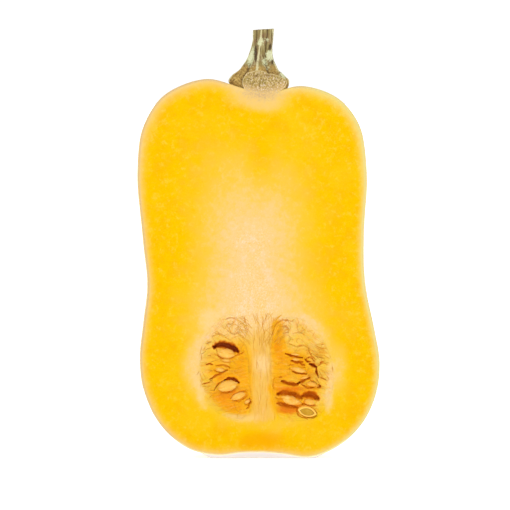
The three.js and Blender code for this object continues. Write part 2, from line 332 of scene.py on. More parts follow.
# Noise whose grains are so many millimetres across, longer along z or another direction by stretch.
def noiseOf(tree, vector, size, detail=2.0, stretch=None, rough=0.5):
    if stretch is not None:
        settings = {"operation": "MULTIPLY", 1: stretch}
        vector = nodeOut(tree, "ShaderNodeVectorMath", settings, {0: vector})
    settings = {"Scale": 1000 / size, "Detail": detail, "Roughness": rough}
    return nodeOut(tree, "ShaderNodeTexNoise", settings, {"Vector": vector})


def newMaterial(name):
    material = bpy.data.materials.new(name)
    material.use_nodes = True
    tree = material.node_tree
    tree.nodes.clear()
    return material, tree, addNode(tree, "ShaderNodeTexCoord").outputs["Object"]


# Ends a material with its shader; bump is a height and the depth in millimetres that it stands for.
def finishMaterial(material, colour, settings, bump=None):
    tree = material.node_tree
    shader = addNode(tree, "ShaderNodeBsdfPrincipled", settings, {"Base Color": colour})
    if bump is not None:
        height, depth = bump
        settings = {"Strength": 1.0, "Distance": depth / 1000}
        tree.links.new(nodeOut(tree, "ShaderNodeBump", settings, {"Height": height}), shader.inputs["Normal"])
    addNode(tree, "ShaderNodeOutputMaterial", None, {"Surface": shader.outputs[0]})
    return material


# The fruit's outline, bottom to top, as distance from its axis and height, on its right and its left.
fruit = {
    "axis": (1.8, 7.0),
    "right": [
        (0, 3.7), (12, 2.4), (24, 0.9), (37, 6), (49, 17.5), (55.5, 32.5), (56.8, 46), (54, 64),
        (49.8, 85), (49.3, 108), (50.4, 137.5), (46.8, 160.5), (36.7, 173.5), (20.3, 179.4),
        (10.5, 177.2), (0, 174.5),
    ],
    "left": [
        (0, 3.7), (12, 3.1), (22.6, 1.9), (36.7, 5.2), (50, 17), (57.4, 33.5), (59.2, 48.5),
        (57.4, 66), (55.5, 83.5), (57.7, 106), (60.4, 137.5), (57.6, 160), (48, 175),
        (27.9, 182.9), (12.5, 179), (0, 174.5),
    ],
    # the belly behind: station of the outline, how much wider and lower, and how soon round the side
    "belly": (2, 11.0, 2.5, 0.5),
    # furrows round the shoulder: how many, their turn, station, spread and depth
    "furrows": (5, 0.6, 12, 4, 0.5),
    # the uneven skin: size and depth of its dents, ridges with their turn and height, calm at the axis
    "dents": {"size": 17, "deep": 0.14, "ridges": (10, 0.7), "high": 0.1, "calm": 12},
    # the bottom behind the cut rests flat, and the top behind it is lower
    "heel": {"share": 0.97, "depth": (0.25, 2.2), "power": 1.6, "reach": (31, 24), "height": (16, 8)},
    "crown": {"drop": 3.4, "depth": (1.0, 13), "height": (158, 176)},
    "sides": 300,
    "steps": 240,
    "shrink": 0.9985,
    "faceDepth": 0.2,
    "bevel": 0.22,
    # waves left by the knife: their lengths across and up, their height and how near the rim they end
    "chatter": (26, 7, 0.035, 4),
    # the cut face's points: rings inside its edge with their spacing, then two lattices, the finer one
    # round the chambers, and how far they keep from the edge and the holes
    "rings": [(0.22, 0.7), (0.5, 0.8), (0.85, 0.9), (1.3, 1.0), (1.9, 1.2), (2.7, 1.3), (3.6, 1.5)],
    "lattices": {"coarse": 1.45, "fine": 0.62, "within": 1.28, "fromEdge": 4.3, "fromHoles": 0.4},
}


def fruitColumn(angle, at):
    left = (1 - math.cos(angle)) / 2
    back = max(0.0, math.sin(angle)) ** 2
    low, wider, lower, onset = fruit["belly"]
    count, turn, where, spread, depth = fruit["furrows"]
    order = np.arange(len(fruit["right"]))
    near = np.exp(-((order - low) ** 2.0))
    furrow = depth * math.cos(count * angle + turn) * np.exp(-((order - where) ** 2) / spread)
    points = (1 - left) * np.array(fruit["right"]) + left * np.array(fruit["left"])
    away = (order > 0) & (order < len(order) - 1)
    points[:, 0] += away * (wider * back * near + furrow)
    points[:, 1] -= away * lower * back / (back + onset) * near
    flip = np.array([-1, 1])
    whole = np.vstack([points[1:2] * flip, points, points[-2:-1] * flip])
    return curveThrough(whole, at + 1)


def fruitGrid():
    angles = np.arange(fruit["sides"]) * 2 * math.pi / fruit["sides"]
    at = np.linspace(0, len(fruit["right"]) - 1, fruit["steps"] + 1)
    columns = np.array([fruitColumn(a, at) for a in angles]) * fruit["shrink"]
    reach, height = columns[..., 0].T, columns[..., 1].T
    grid = np.stack([reach * np.cos(angles), reach * np.sin(angles), height], axis=-1)
    dents, heel, crown = fruit["dents"], fruit["heel"], fruit["crown"]
    uneven = layered(grid.reshape(-1, 3) / dents["size"], 3).reshape(reach.shape)
    count, turn = dents["ridges"]
    deep = dents["deep"] * (1 + np.clip(uneven, -1, 1)) + dents["high"] * (1 - np.cos(count * angles + turn))
    far = np.linalg.norm(grid[..., :2], axis=-1)
    grid[..., :2] *= (1 - deep * smooth(0, dents["calm"], far) / np.maximum(far, 1))[..., None]
    grid[..., :2] += fruit["axis"]
    grid[..., 2] = np.maximum(grid[..., 2], 0)
    low = smooth(*heel["reach"], reach) * smooth(*heel["height"], grid[..., 2])
    start, end = heel["depth"]
    behind = np.clip((grid[..., 1] - start) / (end - start), 0, 1) ** heel["power"]
    grid[..., 2] *= 1 - heel["share"] * low * behind
    lowered = smooth(*crown["depth"], grid[..., 1]) * smooth(*crown["height"], grid[..., 2])
    grid[..., 2] -= crown["drop"] * lowered
    return grid


fruitPoints = fruitGrid()
designLow = fruitPoints.reshape(-1, 3).min(axis=0)
designHigh = fruitPoints.reshape(-1, 3).max(axis=0)
halfLow, halfHigh = (np.array(corner) * 1000 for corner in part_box("squash_half"))
aside = (halfLow[0] + halfHigh[0] - designLow[0] - designHigh[0]) / 2
shift = np.array([aside, halfLow[1], 0.0])
print("the design frame is moved by", shift.round(3), "mm")

# The two seed chambers: outline on the cut face as x and z, and the depth of the bowl behind it.
chambers = {
    "left": {
        "centre": (-15, 43),
        "outline": [
            (-7.3, 65.8), (-14.5, 69.6), (-22.2, 64.3), (-26.8, 54.7), (-28.2, 43.7), (-27, 33.1),
            (-23.7, 25.9), (-17.4, 21.1), (-9.7, 18.7), (-4.9, 20.2), (-3, 28.3), (-4.5, 40.3),
            (-5.4, 52.3),
        ],
    },
    "right": {
        "centre": (20, 43),
        "outline": [
            (9, 66.2), (15.7, 68.4), (23.9, 65.8), (30.6, 58.1), (34.9, 48.5), (36.1, 37.9),
            (33.9, 28.3), (28.7, 20.6), (20, 18.5), (11.4, 19.2), (8, 25.9), (6.3, 37.9),
            (5.4, 52.3),
        ],
    },
}
# the walls behind a chamber; those of the flesh lie a skin's depth behind those of the pulp
bowl = {"depth": 17.0, "skin": 0.3, "shares": (0.12, 0.3, 0.5, 0.7, 0.88, 0.97)}
seedRegion = {"centre": (2.9, 43.9), "radii": (33.0, 27.5), "middle": 2.0}


@functools.cache
def chamberLoop(side, inset=0.0, spacing=0.5):
    chamber = chambers[side]
    path = smoothPath(chamber["outline"], 40, closed=True)[:-1]
    total = lengthsOf(path).sum()
    loop, across = loopAt(path, np.arange(0, total, total / round(total / spacing)))
    towards = np.sign(((np.array(chamber["centre"]) - loop) * across).sum(axis=1))
    return loop + across * towards[:, None] * inset


# Rings of a bowl behind a loop, and its deepest point.
def bowlBehind(loop, centre, depth, shares):
    centre = np.array(centre, float)
    rings = []
    for share in shares:
        flat = centre + (loop - centre) * math.sqrt(1 - share**2)
        rings.append(np.column_stack([flat[:, 0], np.full(len(loop), share * depth), flat[:, 1]]))
    return rings, np.array([centre[0], depth, centre[1]])


# Faces that join a first ring of vertex numbers to rings numbered from start, ended by a point.
def bowlFaces(first, start, ringCount):
    size = len(first)
    rings = [first] + [range(start + k * size, start + (k + 1) * size) for k in range(ringCount)]
    tip = start + ringCount * size
    faces = []
    for a, b in zip(rings, rings[1:]):
        faces += [(a[i], a[(i + 1) % size], b[(i + 1) % size], b[i]) for i in range(size)]
    last = rings[-1]
    faces += [(last[i], last[(i + 1) % size], tip) for i in range(size)]
    return faces


# Fields carried on over the walls behind a chamber, which hardly show.
def extended(fields, count):
    rest = {"flow": 0.0, "rim": 9.0}
    made = {}
    for key, values in fields.items():
        missing = np.full((count - len(values), *values.shape[1:]), rest.get(key, 0.5))
        made[key] = np.concatenate([values, missing])
    return made


# Fibres run up the middle of the cut face and fan out above a height, by its distance and its square.
fibreFlow = {
    "middle": 1.5,
    "above": 50,
    "fan": (0.045, 0.0009),
    # in the chambers: how steeply they rise at heights, and how unlike the two sides are
    "lean": ([24, 45, 54, 62, 70], [-0.26, -0.12, 0.3, 0.9, 1.6]),
    "apart": 50,
}


def flowOf(x, z):
    over, (once, twice) = np.maximum(0, z - fibreFlow["above"]), fibreFlow["fan"]
    spread = 1 + once * over + twice * over**2
    return np.stack([(x - fibreFlow["middle"]) / spread, z, np.zeros(len(x))], axis=1)


# In the chambers they leave the middle sideways, upwards above the seeds and a little downwards below.
def sideFlow(x, z):
    out = np.abs(x - seedRegion["middle"])
    across = z - np.interp(z, *fibreFlow["lean"]) * out
    return np.stack([across, out, np.sign(x - seedRegion["middle"]) * fibreFlow["apart"]], axis=1)


def ellipseShare(x, z):
    (cx, cz), (rx, rz) = seedRegion["centre"], seedRegion["radii"]
    return np.hypot((x - cx) / rx, (z - cz) / rz)


def blob(x, z, centre, radii, power=2.0):
    far = np.hypot((x - centre[0]) / radii[0], (z - centre[1]) / radii[1])
    return np.exp(-(far**power))


def blobs(x, z, spots):
    return sum(much * blob(x, z, (bx, bz), (rx, rz)) for bx, bz, rx, rz, much in spots)


# The pale tissue up the middle of the flesh: its middle, half width and strength at heights.
core = {
    "z": [60, 72, 84, 91, 98, 105, 112, 120, 127, 134, 141, 149, 160],
    "middle": [-1.5, -1.5, -2.5, -3, -2.5, -3, -3, -3, -3, -2.5, -4, -6, -8],
    "half": [32, 30, 27, 26, 25, 25, 26, 27, 27, 28, 29, 28, 24],
    "strength": [0.9, 1, 1, 0.93, 0.92, 0.97, 0.89, 0.8, 0.66, 0.54, 0.44, 0.3, 0.04],
}

# Orange tissue in and beside the seed chambers: x, z, radii and how much.
orangeSpots = [
    (-8.6, 48, 5.4, 9, 0.62), (-14, 27, 9.5, 5, 0.72), (-18.5, 40.5, 5, 3.4, 0.35),
    (-12, 40, 6, 4.5, 0.4), (-22, 30, 3.5, 4.5, 0.35), (-15, 23.5, 7, 3, 0.45),
    (-5.5, 34, 3, 8, 0.45), (9.4, 55, 2.9, 6.2, 0.85), (8.8, 64, 2.8, 3.6, 0.5),
    (11.5, 45, 4.6, 9, 0.55), (13.5, 26, 5.5, 4, 0.85), (19, 34, 11, 2.2, 0.6),
    (22.5, 41, 6, 4.4, 0.45), (8.6, 33, 3.4, 7, 0.5), (18, 48, 6, 3.5, 0.4), (-21, 46, 5, 8, 0.3),
    (22, 50, 5, 8, 0.15), (26, 29, 5, 3.4, 0.45), (24, 24, 6, 4, 0.25),
]
# Cream tissue, given alike: in the column and round the outside of the chambers.
creamSpots = [
    (1.8, 46, 5.5, 6, 1.0), (-5.2, 19.6, 10, 3.2, 0.75), (-27.8, 31.5, 2.8, 6.5, 0.75),
    (33, 28, 2.6, 7, 0.7), (-25, 65, 6, 7, 0.7), (19, 76, 8, 5, 0.35), (28, 55.5, 5.5, 5.5, 0.6),
    (34.6, 39, 2.4, 12, 0.75), (-21, 69.5, 7, 3.5, 0.5), (-25.4, 25, 2.4, 3.4, 0.5),
    (-14, 21.4, 6, 1.8, 0.4), (-28.6, 36, 3, 4, 0.25),
]
# Where other tissues lie, as blobs of a centre, radii and a power, or as limits on the cut face.
tissue = {
    "paleEdge": 2.4,
    "paleFrom": (50, 62),
    "paleGap": (0.7, (1.4, 147), (7, 14)),
    # a pale ring round the seeds: its outer and inner limits as shares, its gap, and how it grows up
    "ring": {"outer": (1.34, 1.0), "inner": (1.0, 0.86, 0.4), "gap": (0.5, (36, 56), (6, 13))},
    "ringGrows": (-0.95, 0.1, 0.3, 0.55),
    "column": {"middle": 1.8, "half": 7.0, "wave": (5, 0.7), "inside": (1.08, 0.82), "heights": (70, 56)},
    "orangeWithin": (1.0, 0.84),
    "orangeMost": 1.2,
    "crescent": ((-0.4, 175), (15.6, 6.8), 2.6),
    "crescentMore": (0.5, (5, 169.5), (9, 4)),
    "warm": ((1, 9), (13, 5.5), 2.2),
    "foot": ((1.6, 175.5), (13, 4.2), 2.6),
    "fibreWithin": (1.02, 0.93),
    "fibreInPale": 0.35,
}


def tissueFields(x, z):
    middle, half, strength = (np.interp(z, core["z"], core[k]) for k in ("middle", "half", "strength"))
    share = ellipseShare(x, z)
    pale = strength * np.exp(-(np.abs((x - middle) / half) ** tissue["paleEdge"]))
    pale *= smooth(*tissue["paleFrom"], z)
    much, centre, radii = tissue["paleGap"]
    pale *= 1 - much * blob(x, z, centre, radii)
    much, centre, radii = tissue["ring"]["gap"]
    outside, within, less = tissue["ring"]["inner"]
    ring = (1 - much * blob(x, z, centre, radii)) * smooth(*tissue["ring"]["outer"], share)
    start, end, least, more = tissue["ringGrows"]
    up = smooth(start, end, (z - seedRegion["centre"][1]) / seedRegion["radii"][1])
    ring *= (least + more * up) * (1 - less * smooth(outside, within, share))
    column = tissue["column"]
    size, much = column["wave"]
    wavy = much * grain(np.stack([x * 0, z / size], axis=1), 31)
    middle = np.exp(-(np.abs((x - column["middle"] + wavy) / column["half"]) ** 3))
    much, centre, radii = tissue["crescentMore"]
    top = blob(x, z, *tissue["crescent"]) + much * blob(x, z, centre, radii)
    orange = np.clip(blobs(x, z, orangeSpots), 0, tissue["orangeMost"])
    return {
        "pale": np.clip(np.maximum(pale, ring), 0, 1),
        "crescent": np.clip(top, 0, 1),
        "warm": blob(x, z, *tissue["warm"]),
        "column": middle * smooth(*column["inside"], share) * smooth(*column["heights"], z),
        "foot": blob(x, z, *tissue["foot"]),
        "cream": blobs(x, z, creamSpots),
        "tone": orange * smooth(*tissue["orangeWithin"], share),
        "fibre": np.clip(smooth(*tissue["fibreWithin"], share) + tissue["fibreInPale"] * pale, 0, 1),
    }


# Zones inside the edge of the cut face: a pale band, wider at the top and narrower on the right, and
# the line of the rind, which fades under the stalk and is lighter at the bottom. Both are painted
# lighter and more yellow on the right, as painted light.
edgeZones = {
    "top": (120, 172),
    # where painted light makes the rind's line lighter on the right
    "right": (0, 45),
    "band": {
        "much": (0.95, 0.1), "wide": (2.55, 0.9, 0.45), "gap": (0.6, (-1.5, 3), (8, 8)),
        # where painted light makes the band lighter on the right
        "right": (-10, 40),
    },
    "stalk": {"middle": 1, "sides": (16, 13), "heights": (168, 172), "more": 6},
    "line": (1.6, 0.4),
    "brim": {"heights": (14, 7), "wide": 0.9},
}


def fleshFields(x, z, rim):
    band, stalkFoot, brim = edgeZones["band"], edgeZones["stalk"], edgeZones["brim"]
    top, right = smooth(*edgeZones["top"], z), smooth(*edgeZones["right"], x)
    (much, more), (wide, above, less) = band["much"], band["wide"]
    gap, centre, radii = band["gap"]
    pale = (much + more * top) * np.exp(-rim / (wide + above * top - less * right))
    pale = pale * (1 - gap * blob(x, z, centre, radii))
    under = smooth(*stalkFoot["sides"], np.abs(x - stalkFoot["middle"])) * smooth(*stalkFoot["heights"], z)
    rim = rim + stalkFoot["more"] * under
    return {
        **tissueFields(x, z),
        "band": pale,
        "bandLitRight": pale * smooth(*band["right"], x),
        "rim": rim,
        "rimLitRight": smooth(*edgeZones["line"], rim) * right,
        "brim": smooth(*brim["heights"], z) * np.exp(-rim / brim["wide"]),
    }


# The rind behind the cut: its points, faces and the loop of vertices along the cut.
def rindShell():
    sides, steps = fruit["sides"], fruit["steps"]
    coords = fruitPoints[1:steps].reshape(-1, 3)
    coords = np.vstack([coords, fruitPoints[0].mean(axis=0), fruitPoints[steps].mean(axis=0)])
    work = bmesh.new()
    verts = [work.verts.new(p) for p in coords.tolist()]
    for face in tubeFaces(steps - 1, sides):
        work.faces.new([verts[k] for k in face])
    return sliced(work, (0, fruit["faceDepth"] + fruit["bevel"], 0), near=1e-3, merge=0.02)


def inwardRing(loop, inset, spacing, near=0.93):
    even, across = loopAt(loop, np.arange(0, np.cumsum(lengthsOf(loop))[-1], spacing))
    if not insideOf(even[:1] + across[:1] * 0.5, loop)[0]:
        across = -across
    moved = even + across * inset
    return moved[fromLoop(moved, loop) > near * inset]


# Points and triangles of the cut face, between its edge and the holes of the chambers.
def cutFace(cut, holes):
    settings = fruit["lattices"]
    rings = [inwardRing(cut, inset, spacing) for inset, spacing in fruit["rings"]]
    low, high = cut.min(axis=0), cut.max(axis=0)
    coarse, fine = scatter(low, high, settings["coarse"], 5), scatter(low, high, settings["fine"], 6)
    outside = ellipseShare(*coarse.T) >= settings["within"]
    inner = np.vstack([coarse[outside], fine[ellipseShare(*fine.T) < settings["within"]]])
    inner = wellInside(inner, cut, settings["fromEdge"])
    for hole in holes:
        away = fromLoop(inner, hole) > settings["fromHoles"]
        inner = inner[away & ~insideOf(inner, hole)]
    return fillFlat([cut, *holes], np.vstack([*rings, inner]), holes)


def buildHalf(materials):
    coords, faces, loop = rindShell()
    cut = coords[loop][:, [0, 2]]
    holes = [chamberLoop(side) for side in chambers]
    flat, source, triangles = cutFace(cut, holes)
    x, z = flat.T
    rim = fromLoop(flat, cut)
    across, along, high, calm = fruit["chatter"]
    waves = high * layered(np.stack([x / across, z / along], axis=1), 21)
    depth = fruit["faceDepth"] + waves * smooth(0, calm, rim)
    depth += fruit["bevel"] * smooth(fruit["bevel"], 0, rim)
    number, fresh = joinedTo(loop, source, len(coords))
    coords = np.vstack([coords, np.column_stack([x, depth, z])[fresh]])
    kinds = [1] * len(faces) + [0] * len(triangles)
    faces += [tuple(number[k] for k in t) for t in triangles]
    fields = {"flow": np.zeros((len(coords), 3))}
    fields["flow"][number] = flowOf(x, z) / 1000
    for key, values in fleshFields(x, z, rim).items():
        fields[key] = np.zeros(len(coords))
        fields[key][number] = values
    first = len(cut)
    position = {origin: number[k] for k, origin in enumerate(source) if origin >= 0}
    for chamber, hole in zip(chambers.values(), holes):
        edge = [position[first + k] for k in range(len(hole))]
        first += len(hole)
        walls, tip = bowlBehind(hole, chamber["centre"], bowl["depth"] + bowl["skin"], bowl["shares"])
        faces += bowlFaces(edge, len(coords), len(walls))
        coords = np.vstack([coords, *walls, tip])
    kinds += [0] * (len(faces) - len(kinds))
    fields = extended(fields, len(coords))
    return outwards(meshPiece("squash_flesh", coords, faces, materials, kinds, **fields))


# The tissue both the flesh and the pulp are made of: golden, paler up the middle and round the
# seeds, tan in the column between the chambers and orange beside them.
def tissueColour(tree, place, flow):
    broad = noiseOf(tree, place, 22.0, 2.0)
    patches = noiseOf(tree, place, 6.0, 3.0)
    mottle = noiseOf(tree, place, 2.4, 4.0, rough=0.65)
    cells = noiseOf(tree, place, 0.9, 3.0, rough=0.75)
    streaks = noiseOf(tree, place, 1.3, 3.0, (1, 1, 0.18), 0.65)
    fine = noiseOf(tree, place, 0.45, 2.0)
    threads = noiseOf(tree, flow, 0.75, 3.0, (1, 0.12, 1), 0.65)
    layers = [
        (patches, 0.4, 0.7, 0.8, "#D9A302"),
        (broad, 0.5, 0.7, 0.5, "#DAB116"),
        (mottle, 0.5, 0.78, 0.7, "#DBB638"),
        (cells, 0.52, 0.78, 0.3, "#DBB542"),
        (cells, 0.46, 0.25, 0.5, "#D39602"),
        ("warm", patches, 0.5, 0.2, 1.0, 0.85, "#D99904"),
        ("pale", patches, 0.45, 0.06, 0.62, 0.85, "#D9B248"),
        ("pale", mottle, 0.9, 0.36, 1.05, 0.9, "#D9B77F"),
        ("pale", patches, 2.4, 1.0, 1.5, 0.55, "#E0BE9C"),
        ("pale", patches, -2.4, 1.0, 1.5, 0.5, "#D9B25E"),
        ("pale", cells, 1.8, 0.9, 1.4, 0.8, "#DFC8A8"),
        ("pale", cells, -2.0, 0.95, 1.5, 0.7, "#D6A848"),
        ("pale", fine, 2.4, 1.1, 1.8, 0.5, "#E2CCAA"),
        ("pale", fine, -2.8, 1.15, 1.7, 0.6, "#D1A246"),
        ("pale", streaks, 1.5, 0.95, 1.4, 0.65, "#DCBC96"),
        ("crescent", mottle, 0.5, 0.14, 0.8, 0.7, "#D8B45A"),
        ("crescent", mottle, 0.6, 0.5, 1.1, 0.6, "#D8B574"),
        ("column", streaks, 0.7, 0.2, 0.9, 0.85, "#D5A951"),
        ("column", streaks, 1.5, 0.95, 1.5, 0.5, "#DBB086"),
        ("column", streaks, -1.7, 1.0, 1.5, 0.4, "#C48C3A"),
        ("column", fine, -2.6, 1.2, 1.8, 0.45, "#BC8430"),
        ("column", fine, 2.6, 1.2, 1.8, 0.45, "#E4C088"),
        ("cream", mottle, 0.7, 0.25, 1.1, 0.8, "#DCBC84"),
        ("tone", mottle, 0.35, 0.04, 0.42, "#DA9C10"),
        ("tone", mottle, 0.4, 0.4, 0.95, 0.9, "#D68A07"),
        ("fibre", mottle, 2.4, 1.15, 1.6, 0.4, "#DA9A1C"),
        ("fibre", threads, 1.5, 1.0, 1.45, 0.5, "#C07C1C"),
        ("fibre", fine, 3.0, 1.3, 1.9, 0.4, "#B4761C"),
        ("fibre", fine, -3.0, 1.4, 1.9, 0.4, "#EAC478"),
        ("fibre", threads, -1.5, 1.0, 1.4, 0.4, "#E6B460"),
    ]
    colour = overlay(tree, "#D9AC00", layers)
    return colour, mottle, cells, threads


# Raw squash flesh: moist, a little see-through, with the fine mottling of its cells.
def fleshMaterial():
    material, tree, place = newMaterial("raw_squash_flesh")
    flow = addNode(tree, "ShaderNodeAttribute", {"attribute_name": "flow"}).outputs["Vector"]
    colour, mottle, cells, threads = tissueColour(tree, place, flow)
    layers = [
        ("band", mottle, 0.35, 0.1, 0.9, 0.95, "#D6B672"),
        # painted light: the band and the rind's line lighter and more yellow on the right
        ("bandLitRight", mottle, 0.35, 0.1, 0.9, 0.8, "#D4C268"),
        ("rim", cells, 0.3, 1.4, 0.4, 0.85, "#C6A876"),
        ("rimLitRight", cells, 0.2, 0.2, 0.8, 0.75, "#D2C47A"),
        ("brim", cells, 0.3, 0.3, 0.9, 0.9, "#E6DDAE"),
        ("foot", mottle, 1.6, 0.3, 1.2, 0.7, "#C8A770"),
        ("foot", cells, 2.8, 0.7, 1.4, 0.7, "#AE9276"),
    ]
    colour = overlay(tree, colour, layers)
    wet = {"Roughness": 0.5, "Subsurface Weight": 0.1, "Subsurface Scale": 0.001}
    wet |= {"Subsurface Radius": (1.0, 0.55, 0.15), "Specular IOR Level": 0.0}
    relief = mathOf(tree, "MULTIPLY_ADD", cells, 0.5, threads)
    return finishMaterial(material, colour, wet, (relief, 0.05))


# Ripe butternut rind: a thin waxy tan skin with faint lengthwise streaks and small corky specks; the
# low skin just behind the cut is painted near white, as painted light in the shade under the belly.
def rindMaterial():
    material, tree, place = newMaterial("butternut_rind")
    _, across, low = addNode(tree, "ShaderNodeSeparateXYZ", None, {0: place}).outputs
    clouds = noiseOf(tree, place, 28.0, 3.0)
    streaks = noiseOf(tree, place, 5.0, 3.0, (1, 1, 0.12), 0.55)
    specks = noiseOf(tree, place, 1.6, 2.0, rough=0.6)
    pores = noiseOf(tree, place, 0.5, 2.0)
    edge = maskOf(tree, across, -0.026, -0.0318, 0.9)
    foot = maskOf(tree, low, 0.012, 0.004)
    layers = [
        (clouds, 0.4, 0.7, 0.6, "#BE8A4A"),
        (streaks, 0.5, 0.75, 0.5, "#D8B47C"),
        (streaks, 0.45, 0.25, 0.4, "#AE7E48"),
        (specks, 0.66, 0.76, 0.5, "#A07040"),
        (specks, 0.3, 0.22, 0.5, "#E2C290"),
        (edge, "#DDB548"),
        # painted light: the low skin just behind the cut, in the shade under the belly, made near white
        (mathOf(tree, "MULTIPLY", foot, edge), "#CBC9CD"),
    ]
    colour = overlay(tree, "#C99C5C", layers)
    waxy = {"Roughness": 0.45, "Subsurface Weight": 0.08, "Subsurface Scale": 0.001}
    waxy |= {"Coat Weight": 0.12, "Coat Roughness": 0.35}
    return finishMaterial(material, colour, waxy, (pores, 0.03))


fleshLook, rindLook = fleshMaterial(), rindMaterial()
half = buildHalf([fleshLook, rindLook])
settle(half, "flesh", "squash_half")


# Pulp of the seed chambers. Seeds are given as x, z, width, thickness, roll in degrees and the depth
# of their blunt end; slots and folds as a path, half width, depth and how dark their painted shade is.
chambers["left"] |= {
    "cord": [(-13.5, 9.5, 56), (-14.8, 11.8, 48), (-15, 12, 38), (-13.8, 10, 29.5)],
    "seeds": [
        (-15.8, 51.0, 10.2, 5.2, -8, 0.4),
        (-15.5, 47.5, 5.8, 1.8, -6, 0.6),
        (-18.6, 43.0, 6.0, 2.6, -8, 0.5),
        (-14.9, 34.9, 11.2, 6.2, 13, 0.15),
        (-9.2, 30.1, 8.6, 3.8, 22, 0.25),
        (-4.9, 27.5, 4.0, 2.5, 32, 0.65),
    ],
    "folds": [
        (
            [(-21.2, 54), (-19.2, 54.9), (-16.4, 54.8), (-13.6, 54.1), (-11.4, 53), (-9.8, 51.8)],
            1.22, 5, 1.12,
        ),
        ([(-20.2, 52.8), (-19.4, 50.6), (-17.2, 48.9), (-14, 48.6), (-10.4, 50), (-7, 51.6)], 0.22, 1.2, 0.5),
        ([(-19.4, 49.6), (-18.2, 48.7), (-16.6, 48.4)], 0.42, 1.6, 0.7),
        ([(-20.6, 45), (-18, 45.2), (-15, 44.8), (-13.8, 43.8)], 0.25, 1.2, 0.6),
        ([(-20.8, 43), (-18.6, 41.9), (-16, 42.4)], 0.2, 1.0, 0.45),
        ([(-24.8, 45.2), (-23.4, 45.7), (-22.2, 45.6)], 0.25, 1.4, 0.9),
        ([(-23.2, 38.4), (-21.1, 39.8), (-18.9, 40.7), (-16.3, 42), (-14.8, 43)], 0.36, 2.0, 0.74),
        ([(-21.2, 33.2), (-20.1, 35), (-18.9, 36.2), (-17.3, 37.2), (-15.4, 38.0)], 0.32, 2.0, 0.56),
        ([(-16.0, 38.0), (-14.2, 38.6), (-12.2, 38.6), (-10.6, 37.8), (-9.2, 36.5)], 0.56, 3.4, 1.05),
        ([(-26.6, 36.3), (-24.6, 36.6), (-23.2, 37)], 0.2, 1.2, 0.8),
        ([(-19.8, 34), (-18.2, 32.7), (-15.6, 31.9), (-12.6, 33), (-10, 35)], 0.22, 1.2, 0.45),
        ([(-13.6, 29.2), (-10.6, 31.2), (-7.4, 32.4), (-5.4, 32.4)], 0.26, 1.6, 0.7),
        ([(-12.8, 28.6), (-9.6, 27.8), (-7, 29)], 0.2, 1.0, 0.4),
        ([(-3.9, 29.6), (-3.9, 27.6), (-4.5, 25.8), (-5.5, 24.2)], 0.26, 1.8, 0.55),
        ([(-16.4, 67.2), (-13.8, 68), (-11, 67.2), (-12.4, 65.4), (-14.8, 64.8)], 0.16, 0.8, 0.4),
        ([(-22, 58.8), (-19, 60.4), (-16.2, 59.4)], 0.16, 0.8, 0.4),
        ([(-14.8, 61.8), (-11.8, 60.4), (-9.4, 60.8)], 0.18, 0.9, 0.4),
    ],
    "ember": [
        (-11, 32, 8, 3, 0.65), (-18.5, 29, 5, 4.5, 0.4), (-14, 52.5, 7, 1.6, 0.6),
        (-17.5, 39.5, 4, 2, 0.5),
    ],
    "seed": 41,
}
